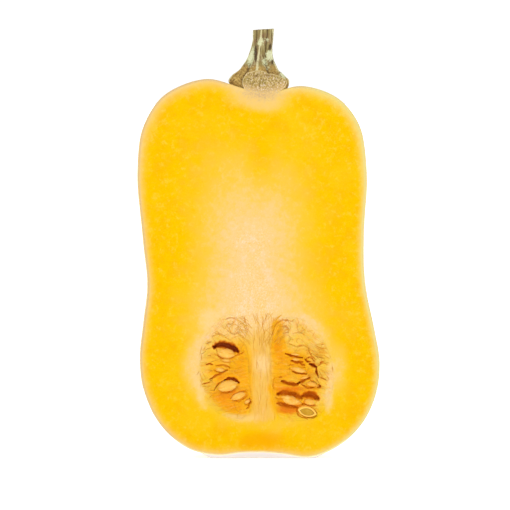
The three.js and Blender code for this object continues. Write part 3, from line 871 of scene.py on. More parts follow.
chambers["right"] |= {
    "cord": [(18.5, 9.5, 56), (19.5, 11.8, 48), (20.5, 12, 37), (20, 9.5, 27)],
    "seeds": [
        (17.6, 50.5, 6.4, 1.4, -8, 0.7),
        (17.8, 48, 5.8, 1.8, -6, 0.6),
        (19.2, 42.9, 9.2, 3.0, -13, 0.35),
        (22.4, 39.3, 6.2, 1.9, 14, 0.6),
        (26.2, 35.8, 7.4, 3.2, -16, 0.55),
        (13.0, 29.5, 9.6, 2.2, -4, 0.45),
        (15.2, 27.6, 11.8, 3.9, -9, 0.35),
        (25.1, 27.1, 7.0, 3.4, -12, 0.5),
    ],
    "folds": [
        ([(13.2, 51), (15.2, 50.1), (18, 49.4), (21.2, 48.9)], 0.46, 2.2, 0.9),
        ([(6.6, 60), (7.8, 64), (10, 66.4), (13.4, 67), (16.4, 66.2)], 0.26, 1.0, 0.42),
        ([(15.6, 47.4), (17.6, 46.8), (19.6, 46.5), (21.4, 46.8)], 0.48, 2.0, 0.85),
        ([(20.2, 46.1), (21.2, 45.6), (22.2, 45)], 0.35, 1.6, 0.75),
        ([(14.2, 45), (18, 45.2), (22.4, 43.8)], 0.22, 1.1, 0.4),
        ([(16.4, 42), (19.4, 41.3), (23, 40.8)], 0.42, 2.0, 0.8),
        ([(9.6, 39.4), (11.4, 39.6)], 0.2, 1.0, 0.6),
        ([(11.2, 37.4), (13.2, 36.8), (15.6, 36.3), (18.2, 36.3), (19.8, 36.8)], 0.66, 2.5, 0.92),
        ([(18.8, 36.6), (20.8, 37.2), (22.8, 38.4), (24.6, 39)], 0.5, 2.6, 0.78),
        ([(20.6, 36), (22.8, 34.7), (25, 34.3), (27, 34.7)], 0.28, 1.8, 0.75),
        ([(24.4, 38.6), (26.4, 37.4), (28.4, 36.4)], 0.22, 1.3, 0.5),
        ([(28.4, 35.4), (29.6, 34.8)], 0.5, 2.4, 0.9),
        ([(22.4, 48.4), (23.6, 47), (24.8, 46.6)], 0.25, 1.6, 0.85),
        ([(24.6, 45.6), (26.4, 45.2), (28.2, 44.4)], 0.55, 3.6, 1.1),
        ([(28, 44.4), (27.8, 42.4), (28.6, 39.4)], 0.24, 2.2, 1.0),
        ([(24.2, 53.4), (24.8, 51), (26.6, 48.8), (27.4, 47.6)], 0.2, 1.2, 0.6),
        ([(28.7, 44.9), (30.1, 46.3), (30.8, 47)], 0.22, 1.2, 0.6),
        ([(23.1, 47.8), (23.9, 48.8), (25.1, 49.2), (26, 48.2), (26.7, 46.8)], 0.2, 1.2, 0.7),
        ([(29.9, 39.6), (31.5, 38.6), (33, 37.7)], 0.2, 1.1, 0.6),
        ([(9.6, 31.2), (11.8, 32.0), (14.2, 31.9), (17.0, 31.2), (19.6, 30.0), (20.8, 29.4)], 1.1, 3.8, 0.84),
        ([(21.4, 30.2), (23.2, 30.9), (25.4, 30.9), (27.2, 30.1), (28.4, 29.0)], 1.3, 4.2, 0.98),
        ([(9.2, 27.0), (12.0, 26.0), (15.4, 25.4), (18.6, 24.8)], 0.9, 2.6, 0.8),
        ([(20.8, 26.6), (23.6, 26.2), (27, 25.9)], 0.5, 2.0, 0.62),
        ([(18.2, 24.4), (18.8, 22), (20.4, 20.4), (23.6, 19.6)], 0.22, 1.2, 0.6),
        ([(7.6, 39.4), (7.2, 36.6), (7.4, 33.8)], 0.15, 0.8, 0.45),
        ([(10.4, 63.6), (13.4, 63.4), (14.6, 61.6), (12.2, 60.4)], 0.18, 0.9, 0.4),
        ([(16.4, 60.4), (19.6, 61), (22.6, 59.6)], 0.16, 0.8, 0.35),
        ([(14.6, 55.4), (18.4, 54.2), (22, 54.6), (24, 53.2)], 0.2, 1.0, 0.4),
    ],
    "ember": [
        (13.4, 24.3, 5, 1.6, 1.0), (15.8, 22.6, 4.5, 1.6, 0.55), (17, 33.9, 8, 1.2, 0.7),
        (23.4, 40, 5, 2.6, 0.4), (14, 30.5, 6, 3.5, 0.6), (24.5, 30, 5, 2.5, 0.7),
        (23, 25.6, 5, 1.4, 0.6), (18, 47, 5, 2.6, 0.5),
    ],
    "seed": 43,
}
# The seed the knife went through, given as the others are, and where its layers end.
cutSeed = {
    "at": (23.5, 22.7, 9.4, 4.9, -19, 0.25),
    "bands": (0.25, 0.5, 0.66, 0.72, 0.78, 0.84, 0.93),
    "stations": (0.3, 0.4, 0.52, 0.66, 0.8, 0.92),
    # behind its flat face it narrows, each ring lies a step deeper, and it ends at a share of its length
    "narrower": 0.93,
    "step": 0.45,
    "ends": 0.7,
}
pulp = {
    "inset": 0.02,
    "edgeSpacing": 0.32,
    "spacing": 0.3,
    "fromEdge": 0.2,
    # the surface: how deep it rests and sinks away from the edge, and by how much lumps change that
    "rest": 0.22,
    "sink": (0.95, 0.75, 0.25),
    "sinks": (0.1, 3.6),
    "least": 0.14,
    # its lumps: size, how squat they are and their height; then ripples and threads: size, height, how
    # far they are drawn out along the flow, and how much the lumps move the ripples
    "lump": (4.2, 1.2, 0.3),
    "ripple": (1.3, 0.28, 0.3, 0.8),
    "thread": (0.55, 0.09, 0.16),
    # painted light on its ridges and painted shade between them: level, and how much of ripples and of
    # threads is in it
    "ridge": (0.5, 0.3, 0.25),
    "rough": (0.1, 1.4),
    "warp": [(1.3, 0.3), (0.5, 0.09)],
    # the bed of a seed: its gap, depth and limits, then the limits of the painted shade round it and how
    # that painted shadow grows underneath it
    "bed": (0.1, 1.2, (1.16, 0.98), (1.8, 1.05), (0.08, 0.4), (0.1, -0.6)),
    "cutBed": (0.12, 1.5, (1.22, 1.02), (1.6, 1.1), (0.12, 0.3), (0.3, -0.4)),
    # the section of a slot or fold in its widths: how it narrows to its ends, sinks, lifts and where
    # its painted shade lies
    "fold": {
        "wider": 0.12, "ends": (0.4, 0.75, 0.7), "uneven": 0.2, "sinks": (0.4, 1.4, 0.1),
        "lip": (0.16, 2.1, 0.9), "shadeSpan": (2.1, 0.45),
    },
}


# How far points are from a seed's middle, as a share of its section, and how far up across it.
def turned(x, z, seed, gap):
    cx, cz, width, thick, roll, _ = seed
    a = math.radians(roll)
    u = ((x - cx) * math.cos(a) + (z - cz) * math.sin(a)) / (width / 2 + gap)
    v = ((z - cz) * math.cos(a) - (x - cx) * math.sin(a)) / (thick / 2 + gap)
    return np.abs(u) ** 2 + np.abs(v) ** 1.7, v


# Depth of a chamber's pulp behind the cut at points of the face, and how much painted shade it has
# there, in its slots and folds and round and under its seeds.
def pulpRelief(x, z, side):
    flat = np.stack([x, z], axis=1)
    edge = fromLoop(flat, chamberLoop(side))
    chamber = chambers[side]
    number, along = chamber["seed"], sideFlow(x, z)[:, :2]
    lumpSize, squat, lumpHigh = pulp["lump"]
    lumps = layered(np.stack([x, z * squat], axis=1) / lumpSize, number, 2)
    size, high, drawn, moved = pulp["ripple"]
    ripples = layered(along * np.array([1, drawn]) / size + moved * lumps[:, None], number + 3, 3)
    rough = high * ripples
    size, high, drawn = pulp["thread"]
    threads = layered(along * np.array([1, drawn]) / size + lumps[:, None], number + 7, 2)
    rough += high * threads
    sunk = smooth(*pulp["sinks"], edge)
    sink, most, change = pulp["sink"]
    depth = pulp["rest"] + sink * sunk * (most + change * lumps)
    depth += sunk * lumpHigh * lumps + smooth(*pulp["rough"], edge) * rough
    paintedShade = np.zeros(len(x))
    # painted shadow round each seed's bed, growing below the seed
    beds = [(seed, pulp["bed"]) for seed in chamber["seeds"]] + [(cutSeed["at"], pulp["cutBed"])]
    for seed, (gap, deep, hollow, halo, (shade, more), under) in beds:
        share, up = turned(x, z, seed, gap)
        depth = np.maximum(depth, deep * smooth(*hollow, share))
        paintedShade = np.maximum(paintedShade, smooth(*halo, share) * (shade + more * smooth(*under, up)))
    for size, much in pulp["warp"]:
        flat = flat + much * np.column_stack([grain(flat / size, number + k) for k in (11, 12)])
    # each slot or fold sinks in and gets painted shade, as dark as its given darkness
    fold = pulp["fold"]
    for path, half, deep, dark in chamber["folds"]:
        far, along = nearPath(flat, smoothPath(path, 5))
        least, more, power = fold["ends"]
        wide = (half + fold["wider"]) * (least + more * np.sin(np.pi * np.clip(along, 0.04, 0.96)) ** power)
        wide *= 1 + fold["uneven"] * ripples
        much, outer, inner = fold["sinks"]
        depth += much * deep * smooth(outer * wide, inner * wide, far)
        much, middle, spread = fold["lip"]
        depth -= much * np.exp(-(((far - middle * wide) / (spread * wide)) ** 2))
        outer, inner = fold["shadeSpan"]
        paintedShade = np.maximum(paintedShade, dark * smooth(outer * wide, inner * wide, far))
    # the pulp's colour follows these: its painted shade, its depth for painted shade in the hollows, and its
    # ridges for painted highlights with painted shade between them
    level, onRipples, onThreads = pulp["ridge"]
    looks = {"paintedShade": paintedShade, "deep": depth, "ridge": level + onRipples * ripples + onThreads * threads}
    return np.maximum(depth, pulp["least"]), {**looks, "ember": blobs(x, z, chamber["ember"])}


def buildPulp(name, side, materials):
    chamber = chambers[side]
    loop = chamberLoop(side, pulp["inset"], pulp["edgeSpacing"])
    points = scatter(loop.min(axis=0), loop.max(axis=0), pulp["spacing"], chamber["seed"])
    flat, source, triangles = fillFlat([loop], wellInside(points, loop, pulp["fromEdge"]))
    x, z = flat.T
    depth, looks = pulpRelief(x, z, side)
    coords = np.column_stack([x, depth, z])
    position = {origin: k for k, origin in enumerate(source) if origin >= 0}
    border = [position[k] for k in range(len(loop))]
    walls, tip = bowlBehind(loop, chamber["centre"], bowl["depth"], bowl["shares"][1:])
    faces = [tuple(t) for t in triangles] + bowlFaces(border, len(coords), len(walls))
    coords = np.vstack([coords, *walls, tip])
    fields = {"flow": sideFlow(x, z) / 1000, **looks, **tissueFields(x, z)}
    fields = extended(fields, len(coords))
    return outwards(meshPiece(name, coords, faces, materials, **fields))


# Wet placental tissue: the flesh drawn out into orange threads, with dark red brown painted shade in
# its slots and folds and under its seeds.
def pulpMaterial():
    material, tree, place = newMaterial("wet_squash_pulp")
    flow = addNode(tree, "ShaderNodeAttribute", {"attribute_name": "flow"}).outputs["Vector"]
    colour, mottle, cells, threads = tissueColour(tree, place, flow)
    layers = [
        # painted shade between the ridges and painted highlight on them
        ("ridge", cells, 0.5, 0.42, 0.0, 0.35, "#CC7606"),
        ("ridge", cells, 0.5, 0.66, 1.1, 0.5, "#E6B03A"),
        (mottle, 0.55, 0.72, 0.35, "#E0A030"),
        ("ember", mottle, 0.5, 0.15, 0.9, 0.75, "#CC6410"),
        # painted shade: darker orange where the pulp lies deep
        ("deep", mottle, 0.4, 1.6, 2.6, 0.5, "#C4600A"),
        # painted shade in the slots and folds and under the seeds, darkest where it is strongest
        ("paintedShade", mottle, 0.6, 0.12, 0.7, 0.8, "#C06A08"),
        ("paintedShade", mottle, 0.5, 0.6, 0.95, 0.85, "#A44806"),
        ("paintedShade", mottle, 0.3, 0.95, 1.12, 0.92, "#70260A"),
    ]
    colour = overlay(tree, colour, layers)
    wet = {"Roughness": 0.35, "Subsurface Weight": 0.2, "Subsurface Scale": 0.0012}
    wet |= {"Subsurface Radius": (1.0, 0.5, 0.12), "Specular IOR Level": 0.03}
    relief = mathOf(tree, "MULTIPLY_ADD", cells, 0.5, threads)
    return finishMaterial(material, colour, wet, (relief, 0.12))


pulpLook = pulpMaterial()
for side in chambers:
    made = buildPulp("pulp_fill_" + side, side, [pulpLook])
    settle(made, "pulp", "pulp_" + side)


# Trees of geometry nodes, run once on a carrier mesh; what they grow comes back as a plain mesh.
def newTree(name, inputs):
    tree = bpy.data.node_groups.new(name, "GeometryNodeTree")
    tree.is_modifier = True
    for label, kind in [("Geometry", "Geometry"), *inputs, ("Material", "Material")]:
        tree.interface.new_socket(label, in_out="INPUT", socket_type="NodeSocket" + kind)
    tree.interface.new_socket("Geometry", in_out="OUTPUT", socket_type="NodeSocketGeometry")
    return tree, addNode(tree, "NodeGroupInput").outputs


def closeTree(tree, given, geometry):
    for kind in ("GeometryNodeRealizeInstances", "GeometryNodeSetShadeSmooth"):
        geometry = nodeOut(tree, kind, None, {0: geometry})
    links = {0: geometry, "Material": given["Material"]}
    geometry = nodeOut(tree, "GeometryNodeSetMaterial", None, links)
    addNode(tree, "NodeGroupOutput", None, {0: geometry})
    return tree


def named(tree, name, kind="FLOAT"):
    return nodeOut(tree, "GeometryNodeInputNamedAttribute", {"data_type": kind, "Name": name})


# A vector of noise about zero at the points, by so much in millimetres, one wave in so many.
def wander(tree, amount, size, seed):
    place = nodeOut(tree, "GeometryNodeInputPosition")
    settings = {"noise_dimensions": "4D", "Scale": 1000 / size, "Detail": 2.0}
    noise = addNode(tree, "ShaderNodeTexNoise", settings, {"Vector": place, "W": seed}).outputs["Color"]
    kind = "ShaderNodeVectorMath"
    about = nodeOut(tree, kind, {"operation": "SUBTRACT", 1: (0.5,) * 3}, {0: noise})
    return nodeOut(tree, kind, {"operation": "SCALE"}, {0: about, "Scale": amount})


def grown(name, carrier, tree, given):
    piece = placed(name, carrier)
    modifier = piece.modifiers.new("grow", "NODES")
    modifier.node_group = tree
    for item in tree.interface.items_tree:
        if item.in_out == "INPUT" and item.name in given:
            modifier[item.identifier] = given[item.name]
    depsgraph = bpy.context.evaluated_depsgraph_get()
    mesh = bpy.data.meshes.new_from_object(piece.evaluated_get(depsgraph), depsgraph=depsgraph)
    piece.modifiers.clear()
    piece.data = mesh
    mesh.name = name
    return piece


# Seeds: flat and plump with a raised edge, blunt where they show and pointed where they hang.
seedShape = {
    "stations": (0.004, 0.02, 0.05, 0.1, 0.17, 0.25, 0.35, 0.48, 0.62, 0.76, 0.88, 0.96),
    "around": 48,
    # the share of its length where it is full, how blunt it starts, and how much it narrows and where
    "width": (0.42, 7.0, 0.86, 0.42, 1.04),
    "thick": (0.34, 4.0, 0.8, 0.5, 1.02),
    # its section: how lens-like it is, and where its groove lies, how wide and deep
    "lens": (0.3, 0.7, 0.8),
    "groove": (0.86, 0.06, 0.1),
    # the end that hangs: how far it is drawn to the cord and the height where it hangs level
    "hangs": {"level": 42, "up": 0.12, "aside": 0.3},
    # how unlike each other they are in tint, and how much more the ones on the right have of it
    "tint": (0.35, 0.55),
    # how much their surface wanders, in metres, and over how many millimetres
    "rough": (0.00035, 2.2),
}


def taper(t, full, blunt, less, start, end):
    return (1 - (1 - min(t / full, 1)) ** blunt) ** 0.5 * (1 - less * float(smooth(start, end, t)))


def seedRings(stations):
    turn = np.arange(seedShape["around"]) * 2 * math.pi / seedShape["around"]
    side, up = np.abs(np.cos(turn)), np.abs(np.sin(turn))
    least, more, power = seedShape["lens"]
    where, wide, deep = seedShape["groove"]
    lens = np.sin(turn) * (least + more * up**power)
    lens *= 1 - deep * np.exp(-(((side - where) / wide) ** 2))
    rings = []
    for t in stations:
        width, thick = taper(t, *seedShape["width"]), taper(t, *seedShape["thick"])
        ring = [0.5 * width * np.cos(turn), np.full(len(turn), t), 0.5 * thick * lens]
        rings.append(np.column_stack(ring))
    return rings, side


# A mesh from rings, closed by a point at each end.
def ringMesh(name, rings, start, end, **fields):
    faces = tubeFaces(len(rings), len(rings[0]))
    return meshPiece(name, np.vstack([*rings, start, end]), faces, [], **fields)


def cordPoint(chamber, height):
    cord = smoothPath(chamber["cord"], 10)[::-1]
    return np.array([np.interp(height, cord[:, 2], cord[:, k]) for k in range(3)])


def seedTree():
    tree, given = newTree("seeds_on_points", [("Seed", "Object"), ("Rough", "Float"), ("Number", "Float")])
    info = addNode(tree, "GeometryNodeObjectInfo", None, {"Object": given["Seed"]})
    turn = nodeOut(tree, "FunctionNodeEulerToRotation", None, {0: named(tree, "turn", "FLOAT_VECTOR")})
    links = {
        "Points": given["Geometry"],
        "Instance": info.outputs["Geometry"],
        "Rotation": turn,
        "Scale": named(tree, "size", "FLOAT_VECTOR"),
    }
    copies = nodeOut(tree, "GeometryNodeInstanceOnPoints", None, links)
    real = nodeOut(tree, "GeometryNodeRealizeInstances", None, {0: copies})
    offset = wander(tree, given["Rough"], seedShape["rough"][1], given["Number"])
    dented = nodeOut(tree, "GeometryNodeSetPosition", None, {0: real, "Offset": offset})
    return closeTree(tree, given, dented)


# Where a seed's blunt end is, its length, and its directions across, along and through.
def seedAxes(chamber, seed):
    x, z, _, _, roll, front = seed
    tip = np.array([x, front, z])
    hangs = seedShape["hangs"]
    root = cordPoint(chamber, z + hangs["up"] * (hangs["level"] - z))
    root[0] = x + hangs["aside"] * (root[0] - x)
    along = (root - tip) / np.linalg.norm(root - tip)
    across = np.array([math.cos(math.radians(roll)), 0, math.sin(math.radians(roll))])
    across -= along * (across @ along)
    across /= np.linalg.norm(across)
    return tip, np.linalg.norm(root - tip), np.column_stack([across, along, np.cross(across, along)])


def buildSeeds(name, chamber, template, tree, material):
    draw = np.random.default_rng(chamber["seed"])
    tips, turns, sizes = [], [], []
    for seed in chamber["seeds"]:
        tip, length, axes = seedAxes(chamber, seed)
        tips.append(tip)
        turns.append(Matrix(axes.tolist()).to_euler())
        sizes.append((seed[2] / 1000, length / 1000, seed[3] / 1000))
    vary, onRight = seedShape["tint"]
    tint = draw.uniform(0, vary, len(tips)) + [onRight * (tip[0] > 0) for tip in tips]
    points = meshPiece(name + "_points", tips, [], [], turn=turns, size=sizes, tint=tint)
    rough, number = seedShape["rough"][0], float(chamber["seed"])
    given = {"Seed": template, "Rough": rough, "Number": number, "Material": material}
    piece = grown(name, points.data, tree, given)
    bpy.data.objects.remove(points)
    return piece


# Its shell, the thin skin inside it and the kernel are cut flat, in bands from its middle outwards.
def buildCutSeed(chamber, material):
    tip, length, axes = seedAxes(chamber, cutSeed["at"])
    width, thick = cutSeed["at"][2:4]
    rings, _ = seedRings(cutSeed["stations"])
    scale = 1 / rings[0][:, 0].max() / 2
    flat = rings[0] * scale
    back = cutSeed["stations"][0]
    rings = [np.column_stack([r[:, 0] * scale, r[:, 1] - back, r[:, 2] * scale]) for r in rings]
    shares = [*cutSeed["bands"], 1.0]
    narrow = np.array([cutSeed["narrower"], 1, cutSeed["narrower"]])
    whole = [flat * (share, 0, share) for share in shares] + [r * narrow for r in rings[1:]]
    whole = [r * (width, length, thick) @ axes.T + tip for r in whole]
    for count, ring in enumerate(whole):
        behind = tip[1] + cutSeed["step"] * max(0, count - len(cutSeed["bands"]))
        ring[:, 1] = behind if count < len(shares) else np.maximum(ring[:, 1], behind)
    shares += [2.0] * (len(rings) - 1)
    band = np.concatenate([np.full(len(flat), s) for s in shares] + [[0.0, 2.0]])
    end = tip + axes[:, 1] * length * cutSeed["ends"]
    piece = ringMesh("cut_seed", whole, tip, end, band=band)
    piece.data.materials.append(material)
    return outwards(piece)


# Squash seed coat: cream, wet and golden where orange film clings to its edge.
def seedMaterial():
    material, tree, place = newMaterial("wet_seed_coat")
    film = noiseOf(tree, place, 2.4, 3.0, rough=0.6)
    grainy = noiseOf(tree, place, 0.5, 2.0)
    layers = [
        ("tint", film, 0.6, 0.2, 1.0, 0.8, "#DE9E38"),
        (film, 0.52, 0.34, 0.6, "#E4BA68"),
        ("margin", film, 0.5, 0.82, 1.05, 0.6, "#D08E20"),
        (grainy, 0.62, 0.8, 0.2, "#D9A04C"),
    ]
    colour = overlay(tree, "#DEAA4A", layers)
    wet = {"Roughness": 0.28, "Subsurface Weight": 0.15, "Subsurface Scale": 0.001}
    wet["Specular IOR Level"] = 0.12
    return finishMaterial(material, colour, wet, (film, 0.08))


# A seed cut through: pale woody shell, a thin brown line and the olive beige kernel.
def cutSeedMaterial():
    material, tree, place = newMaterial("cut_seed_kernel")
    mottle = noiseOf(tree, place, 1.2, 3.0, rough=0.6)
    layers = [
        (mottle, 0.4, 0.7, 0.6, "#C29A38"),
        ("band", mottle, 0.08, 0.66, 0.7, 0.9, "#8E6A34"),
        ("band", mottle, 0.08, 0.75, 0.8, "#F0B850"),
        ("band", mottle, 0.1, 0.95, 1.2, 0.8, "#EBAC42"),
    ]
    colour = overlay(tree, "#B0821F", layers)
    matt = {"Roughness": 0.4, "Specular IOR Level": 0.05}
    return finishMaterial(material, colour, matt, (mottle, 0.05))


rings, side = seedRings(seedShape["stations"])
margin = np.append(np.tile(side, len(rings)), [0.0, 0.5])
rings = [r * 1000 - shift for r in rings]
template = ringMesh("seed_template", rings, -shift, np.array([0, 1000, 0]) - shift, margin=margin)
outwards(template)
seedLook, seedNodes = seedMaterial(), seedTree()
for side, chamber in chambers.items():
    made = buildSeeds("seeds_" + side + "_set", chamber, template, seedNodes, seedLook)
    settle(made, "seed", "seeds_" + side)
settle(buildCutSeed(chambers["right"], cutSeedMaterial()), "seed", "seeds_right")
bpy.data.objects.remove(template)


# Threads: each a random walk from a spot in a box, given by how many there are, the box, the range of
# their direction in degrees or None along the flow, and the ranges of length, curl, thickness and shade.
strands = {
    "step": 0.35,
    # their depth on the flesh, how far they stand out of the pulp, and how they sink in its slots
    "faceDepth": 0.17,
    "sunk": 0.03,
    "inSlots": (0.9, 0.35, 0.65),
    "within": 0.97,
    "fewest": 4,
    "offFlow": 0.25,
    # how a walk keeps its bend, takes a new one and is jogged
    "bend": (0.86, 0.14, 0.35),
    # how the fan leans away from its middle, and how much that varies
    "fan": (0.11, 1.2, 0.12),
    "groups": {
        "fanned": (90, (-8, 10.5, 54, 67), (60, 120), (3, 9), (0.02, 0.10), (0.05, 0.12), (0.05, 0.6)),
        "columnLines": (50, (-4.6, 7, 20, 56), (87, 93), (2, 12), (0.005, 0.03), (0.03, 0.08), (0.0, 0.45)),
        "leftLoops": (13, (-19, -8, 60, 67.5), (0, 180), (4, 9), (0.28, 0.5), (0.05, 0.1), (0.1, 0.6)),
        "rightLoops": (10, (10, 22, 58, 66), (0, 180), (3, 8), (0.2, 0.45), (0.06, 0.1), (0.4, 0.8)),
        "rightFlaps": (34, (22.5, 31.5, 37, 56), (-70, 50), (3, 7.5), (0.04, 0.16), (0.08, 0.2), (0.0, 0.9)),
        "leftSpurs": (12, (-28, -23, 30, 56), (-20, 50), (1.6, 3.6), (0.05, 0.2), (0.07, 0.12), (0.7, 1.0)),
        "leftPulp": (70, (-25, -5, 21, 66), None, (4, 11), (0.02, 0.12), (0.05, 0.16), (0.0, 0.5)),
        "rightPulp": (70, (7.5, 33, 20, 66), None, (4, 11), (0.02, 0.12), (0.05, 0.16), (0.0, 0.5)),
    },
    # threads along the chambers' edges: side, where they start and end round it, and how many
    "edges": [("left", 0.02, 0.44, 20), ("right", 0.1, 0.5, 16)],
    "edge": {
        "inset": (-0.6, 1.8), "offEdge": 0.2, "length": (1.5, 6), "curl": (0, 0.1), "within": 1.0,
        "thick": (0.05, 0.13), "shade": (0.2, 0.75),
    },
    # a thread's section: sides, thickness at its ends, what is added in its middle, and how fast
    "section": (6, 0.35, 0.65, 0.7),
    # how much a thread wanders, in metres, over how many millimetres, and how much of it in depth
    "wander": (0.0002, 1.6, 0.2),
    "clear": 0.02,
}


def surfaceDepth(flat):
    depth = np.full(len(flat), strands["faceDepth"])
    much, start, end = strands["inSlots"]
    for side in chambers:
        inside = insideOf(flat, chamberLoop(side))
        if inside.any():
            relief, looks = pulpRelief(*flat[inside].T, side)
            depth[inside] = relief - strands["sunk"] + much * smooth(start, end, looks["paintedShade"])
    return depth


def flowHeading(spot):
    side = 1 if spot[0] > seedRegion["middle"] else -1
    return math.atan2(np.interp(spot[1], *fibreFlow["lean"]), side)


def walk(draw, spot, heading, length, curl):
    points, bend = [np.array(spot)], draw.choice([-1, 1]) * curl
    keep, take, jog = strands["bend"]
    for _ in range(int(length / strands["step"])):
        bend = keep * bend + take * draw.choice([-1, 1]) * curl + draw.normal(0, curl * jog)
        heading += bend
        points.append(points[-1] + strands["step"] * np.array([math.cos(heading), math.sin(heading)]))
    return np.array(points)


# The start of a path, up to where it leaves the region of the seeds.
def upToEdge(path, limit):
    inside = ellipseShare(*path.T) < limit
    return path[: len(path) if inside.all() else int(np.argmin(inside))]


def threadPaths():
    draw = np.random.default_rng(17)
    made = []
    slope, middle, vary = strands["fan"]
    for group, (count, box, lean, length, curl, thick, shade) in strands["groups"].items():
        for _ in range(count):
            spot = draw.uniform(box[0:3:2], box[1:4:2])
            heading = flowHeading(spot) + draw.normal(0, strands["offFlow"])
            if lean is not None:
                heading = math.radians(draw.uniform(*lean))
            if group == "fanned":
                heading = math.pi / 2 - slope * (spot[0] - middle) + draw.normal(0, vary)
            path = walk(draw, spot, heading, draw.uniform(*length), draw.uniform(*curl))
            path = upToEdge(path, strands["within"])
            if len(path) >= strands["fewest"]:
                made.append((path, draw.uniform(*thick), draw.uniform(*shade)))
    edge = strands["edge"]
    for side, start, end, count in strands["edges"]:
        loop = chamberLoop(side)
        for _ in range(count):
            first = int(draw.uniform(start, end) * len(loop))
            way = loop[first + 3] - loop[first]
            inset = draw.uniform(*edge["inset"]) * np.array([-way[1], way[0]]) / np.linalg.norm(way)
            heading = math.atan2(way[1], way[0]) + draw.normal(0, edge["offEdge"])
            length, curl = draw.uniform(*edge["length"]), draw.uniform(*edge["curl"])
            path = upToEdge(walk(draw, loop[first] + inset, heading, length, curl), edge["within"])
            if len(path) >= strands["fewest"]:
                made.append((path, draw.uniform(*edge["thick"]), draw.uniform(*edge["shade"])))
    return made


def strandTree():
    tree, given = newTree("strands_on_paths", [("Wander", "Float"), ("Number", "Float")])
    curve = nodeOut(tree, "GeometryNodeMeshToCurve", None, {0: given["Geometry"]})
    _, size, inDepth = strands["wander"]
    noise = wander(tree, given["Wander"], size, given["Number"])
    settings = {"operation": "MULTIPLY", 1: (1, inDepth, 1)}
    moved = nodeOut(tree, "ShaderNodeVectorMath", settings, {0: noise})
    curve = nodeOut(tree, "GeometryNodeSetPosition", None, {0: curve, "Offset": moved})
    settings = {"Resolution": strands["section"][0], "Radius": 1.0}
    circle = nodeOut(tree, "GeometryNodeCurvePrimitiveCircle", settings)
    links = {0: curve, 1: circle, "Scale": named(tree, "thickness")}
    tubes = nodeOut(tree, "GeometryNodeCurveToMesh", {"Fill Caps": True}, links)
    return closeTree(tree, given, tubes)


def buildStrands(name, threads, tree, material):
    coords, edges, thickness, shade = [], [], [], []
    _, least, more, power = strands["section"]
    for path, thick, dark in threads:
        start = len(coords)
        t = np.linspace(0, 1, len(path))
        coords += path.tolist()
        edges += [(start + k, start + k + 1) for k in range(len(path) - 1)]
        thickness += (thick * (least + more * np.sin(np.pi * t) ** power) / 1000).tolist()
        shade += [dark] * len(path)
    flat = np.array(coords)
    depth = np.maximum(surfaceDepth(flat), np.array(thickness) * 1000 + strands["clear"])
    mesh = bpy.data.meshes.new(name)
    mesh.from_pydata(toFrame(np.column_stack([flat[:, 0], depth, flat[:, 1]])).tolist(), edges, [])
    for field, values in (("thickness", thickness), ("shade", shade)):
        mesh.attributes.new(field, "FLOAT", "POINT").data.foreach_set("value", values)
    given = {"Wander": strands["wander"][0], "Number": 3.0, "Material": material}
    return grown(name, mesh, tree, given)


# Vascular threads of the fruit: translucent cream when fresh, olive and red brown where they dried.
def strandMaterial():
    material, tree, place = newMaterial("squash_fibre")
    mottle = noiseOf(tree, place, 1.5, 2.0)
    layers = [
        (mottle, 0.4, 0.7, 0.6, "#D88E14"),
        ("shade", mottle, 0.4, 0.2, 0.6, 0.9, "#C47A14"),
        ("shade", mottle, 0.4, 0.6, 0.95, 0.85, "#8A4A14"),
    ]
    colour = overlay(tree, "#D9A030", layers)
    wet = {"Roughness": 0.4, "Subsurface Weight": 0.1, "Subsurface Scale": 0.001}
    wet["Specular IOR Level"] = 0.1
    return finishMaterial(material, colour, wet)


strandLook, strandNodes = strandMaterial(), strandTree()
threads = threadPaths()
starts = np.array([path[0] for path, _, _ in threads])
inLeft, inRight = (insideOf(starts, chamberLoop(side)) for side in chambers)
for side, own in (("left", inLeft), ("right", inRight)):
    inside = [t for t, k in zip(threads, own) if k]
    made = buildStrands("threads_" + side, inside, strandNodes, strandLook)
    settle(made, "pulp", "pulp_" + side)
rest = [t for t, a, b in zip(threads, inLeft, inRight) if not (a or b)]
settle(buildStrands("threads_on_flesh", rest, strandNodes, strandLook), "flesh", "squash_half")


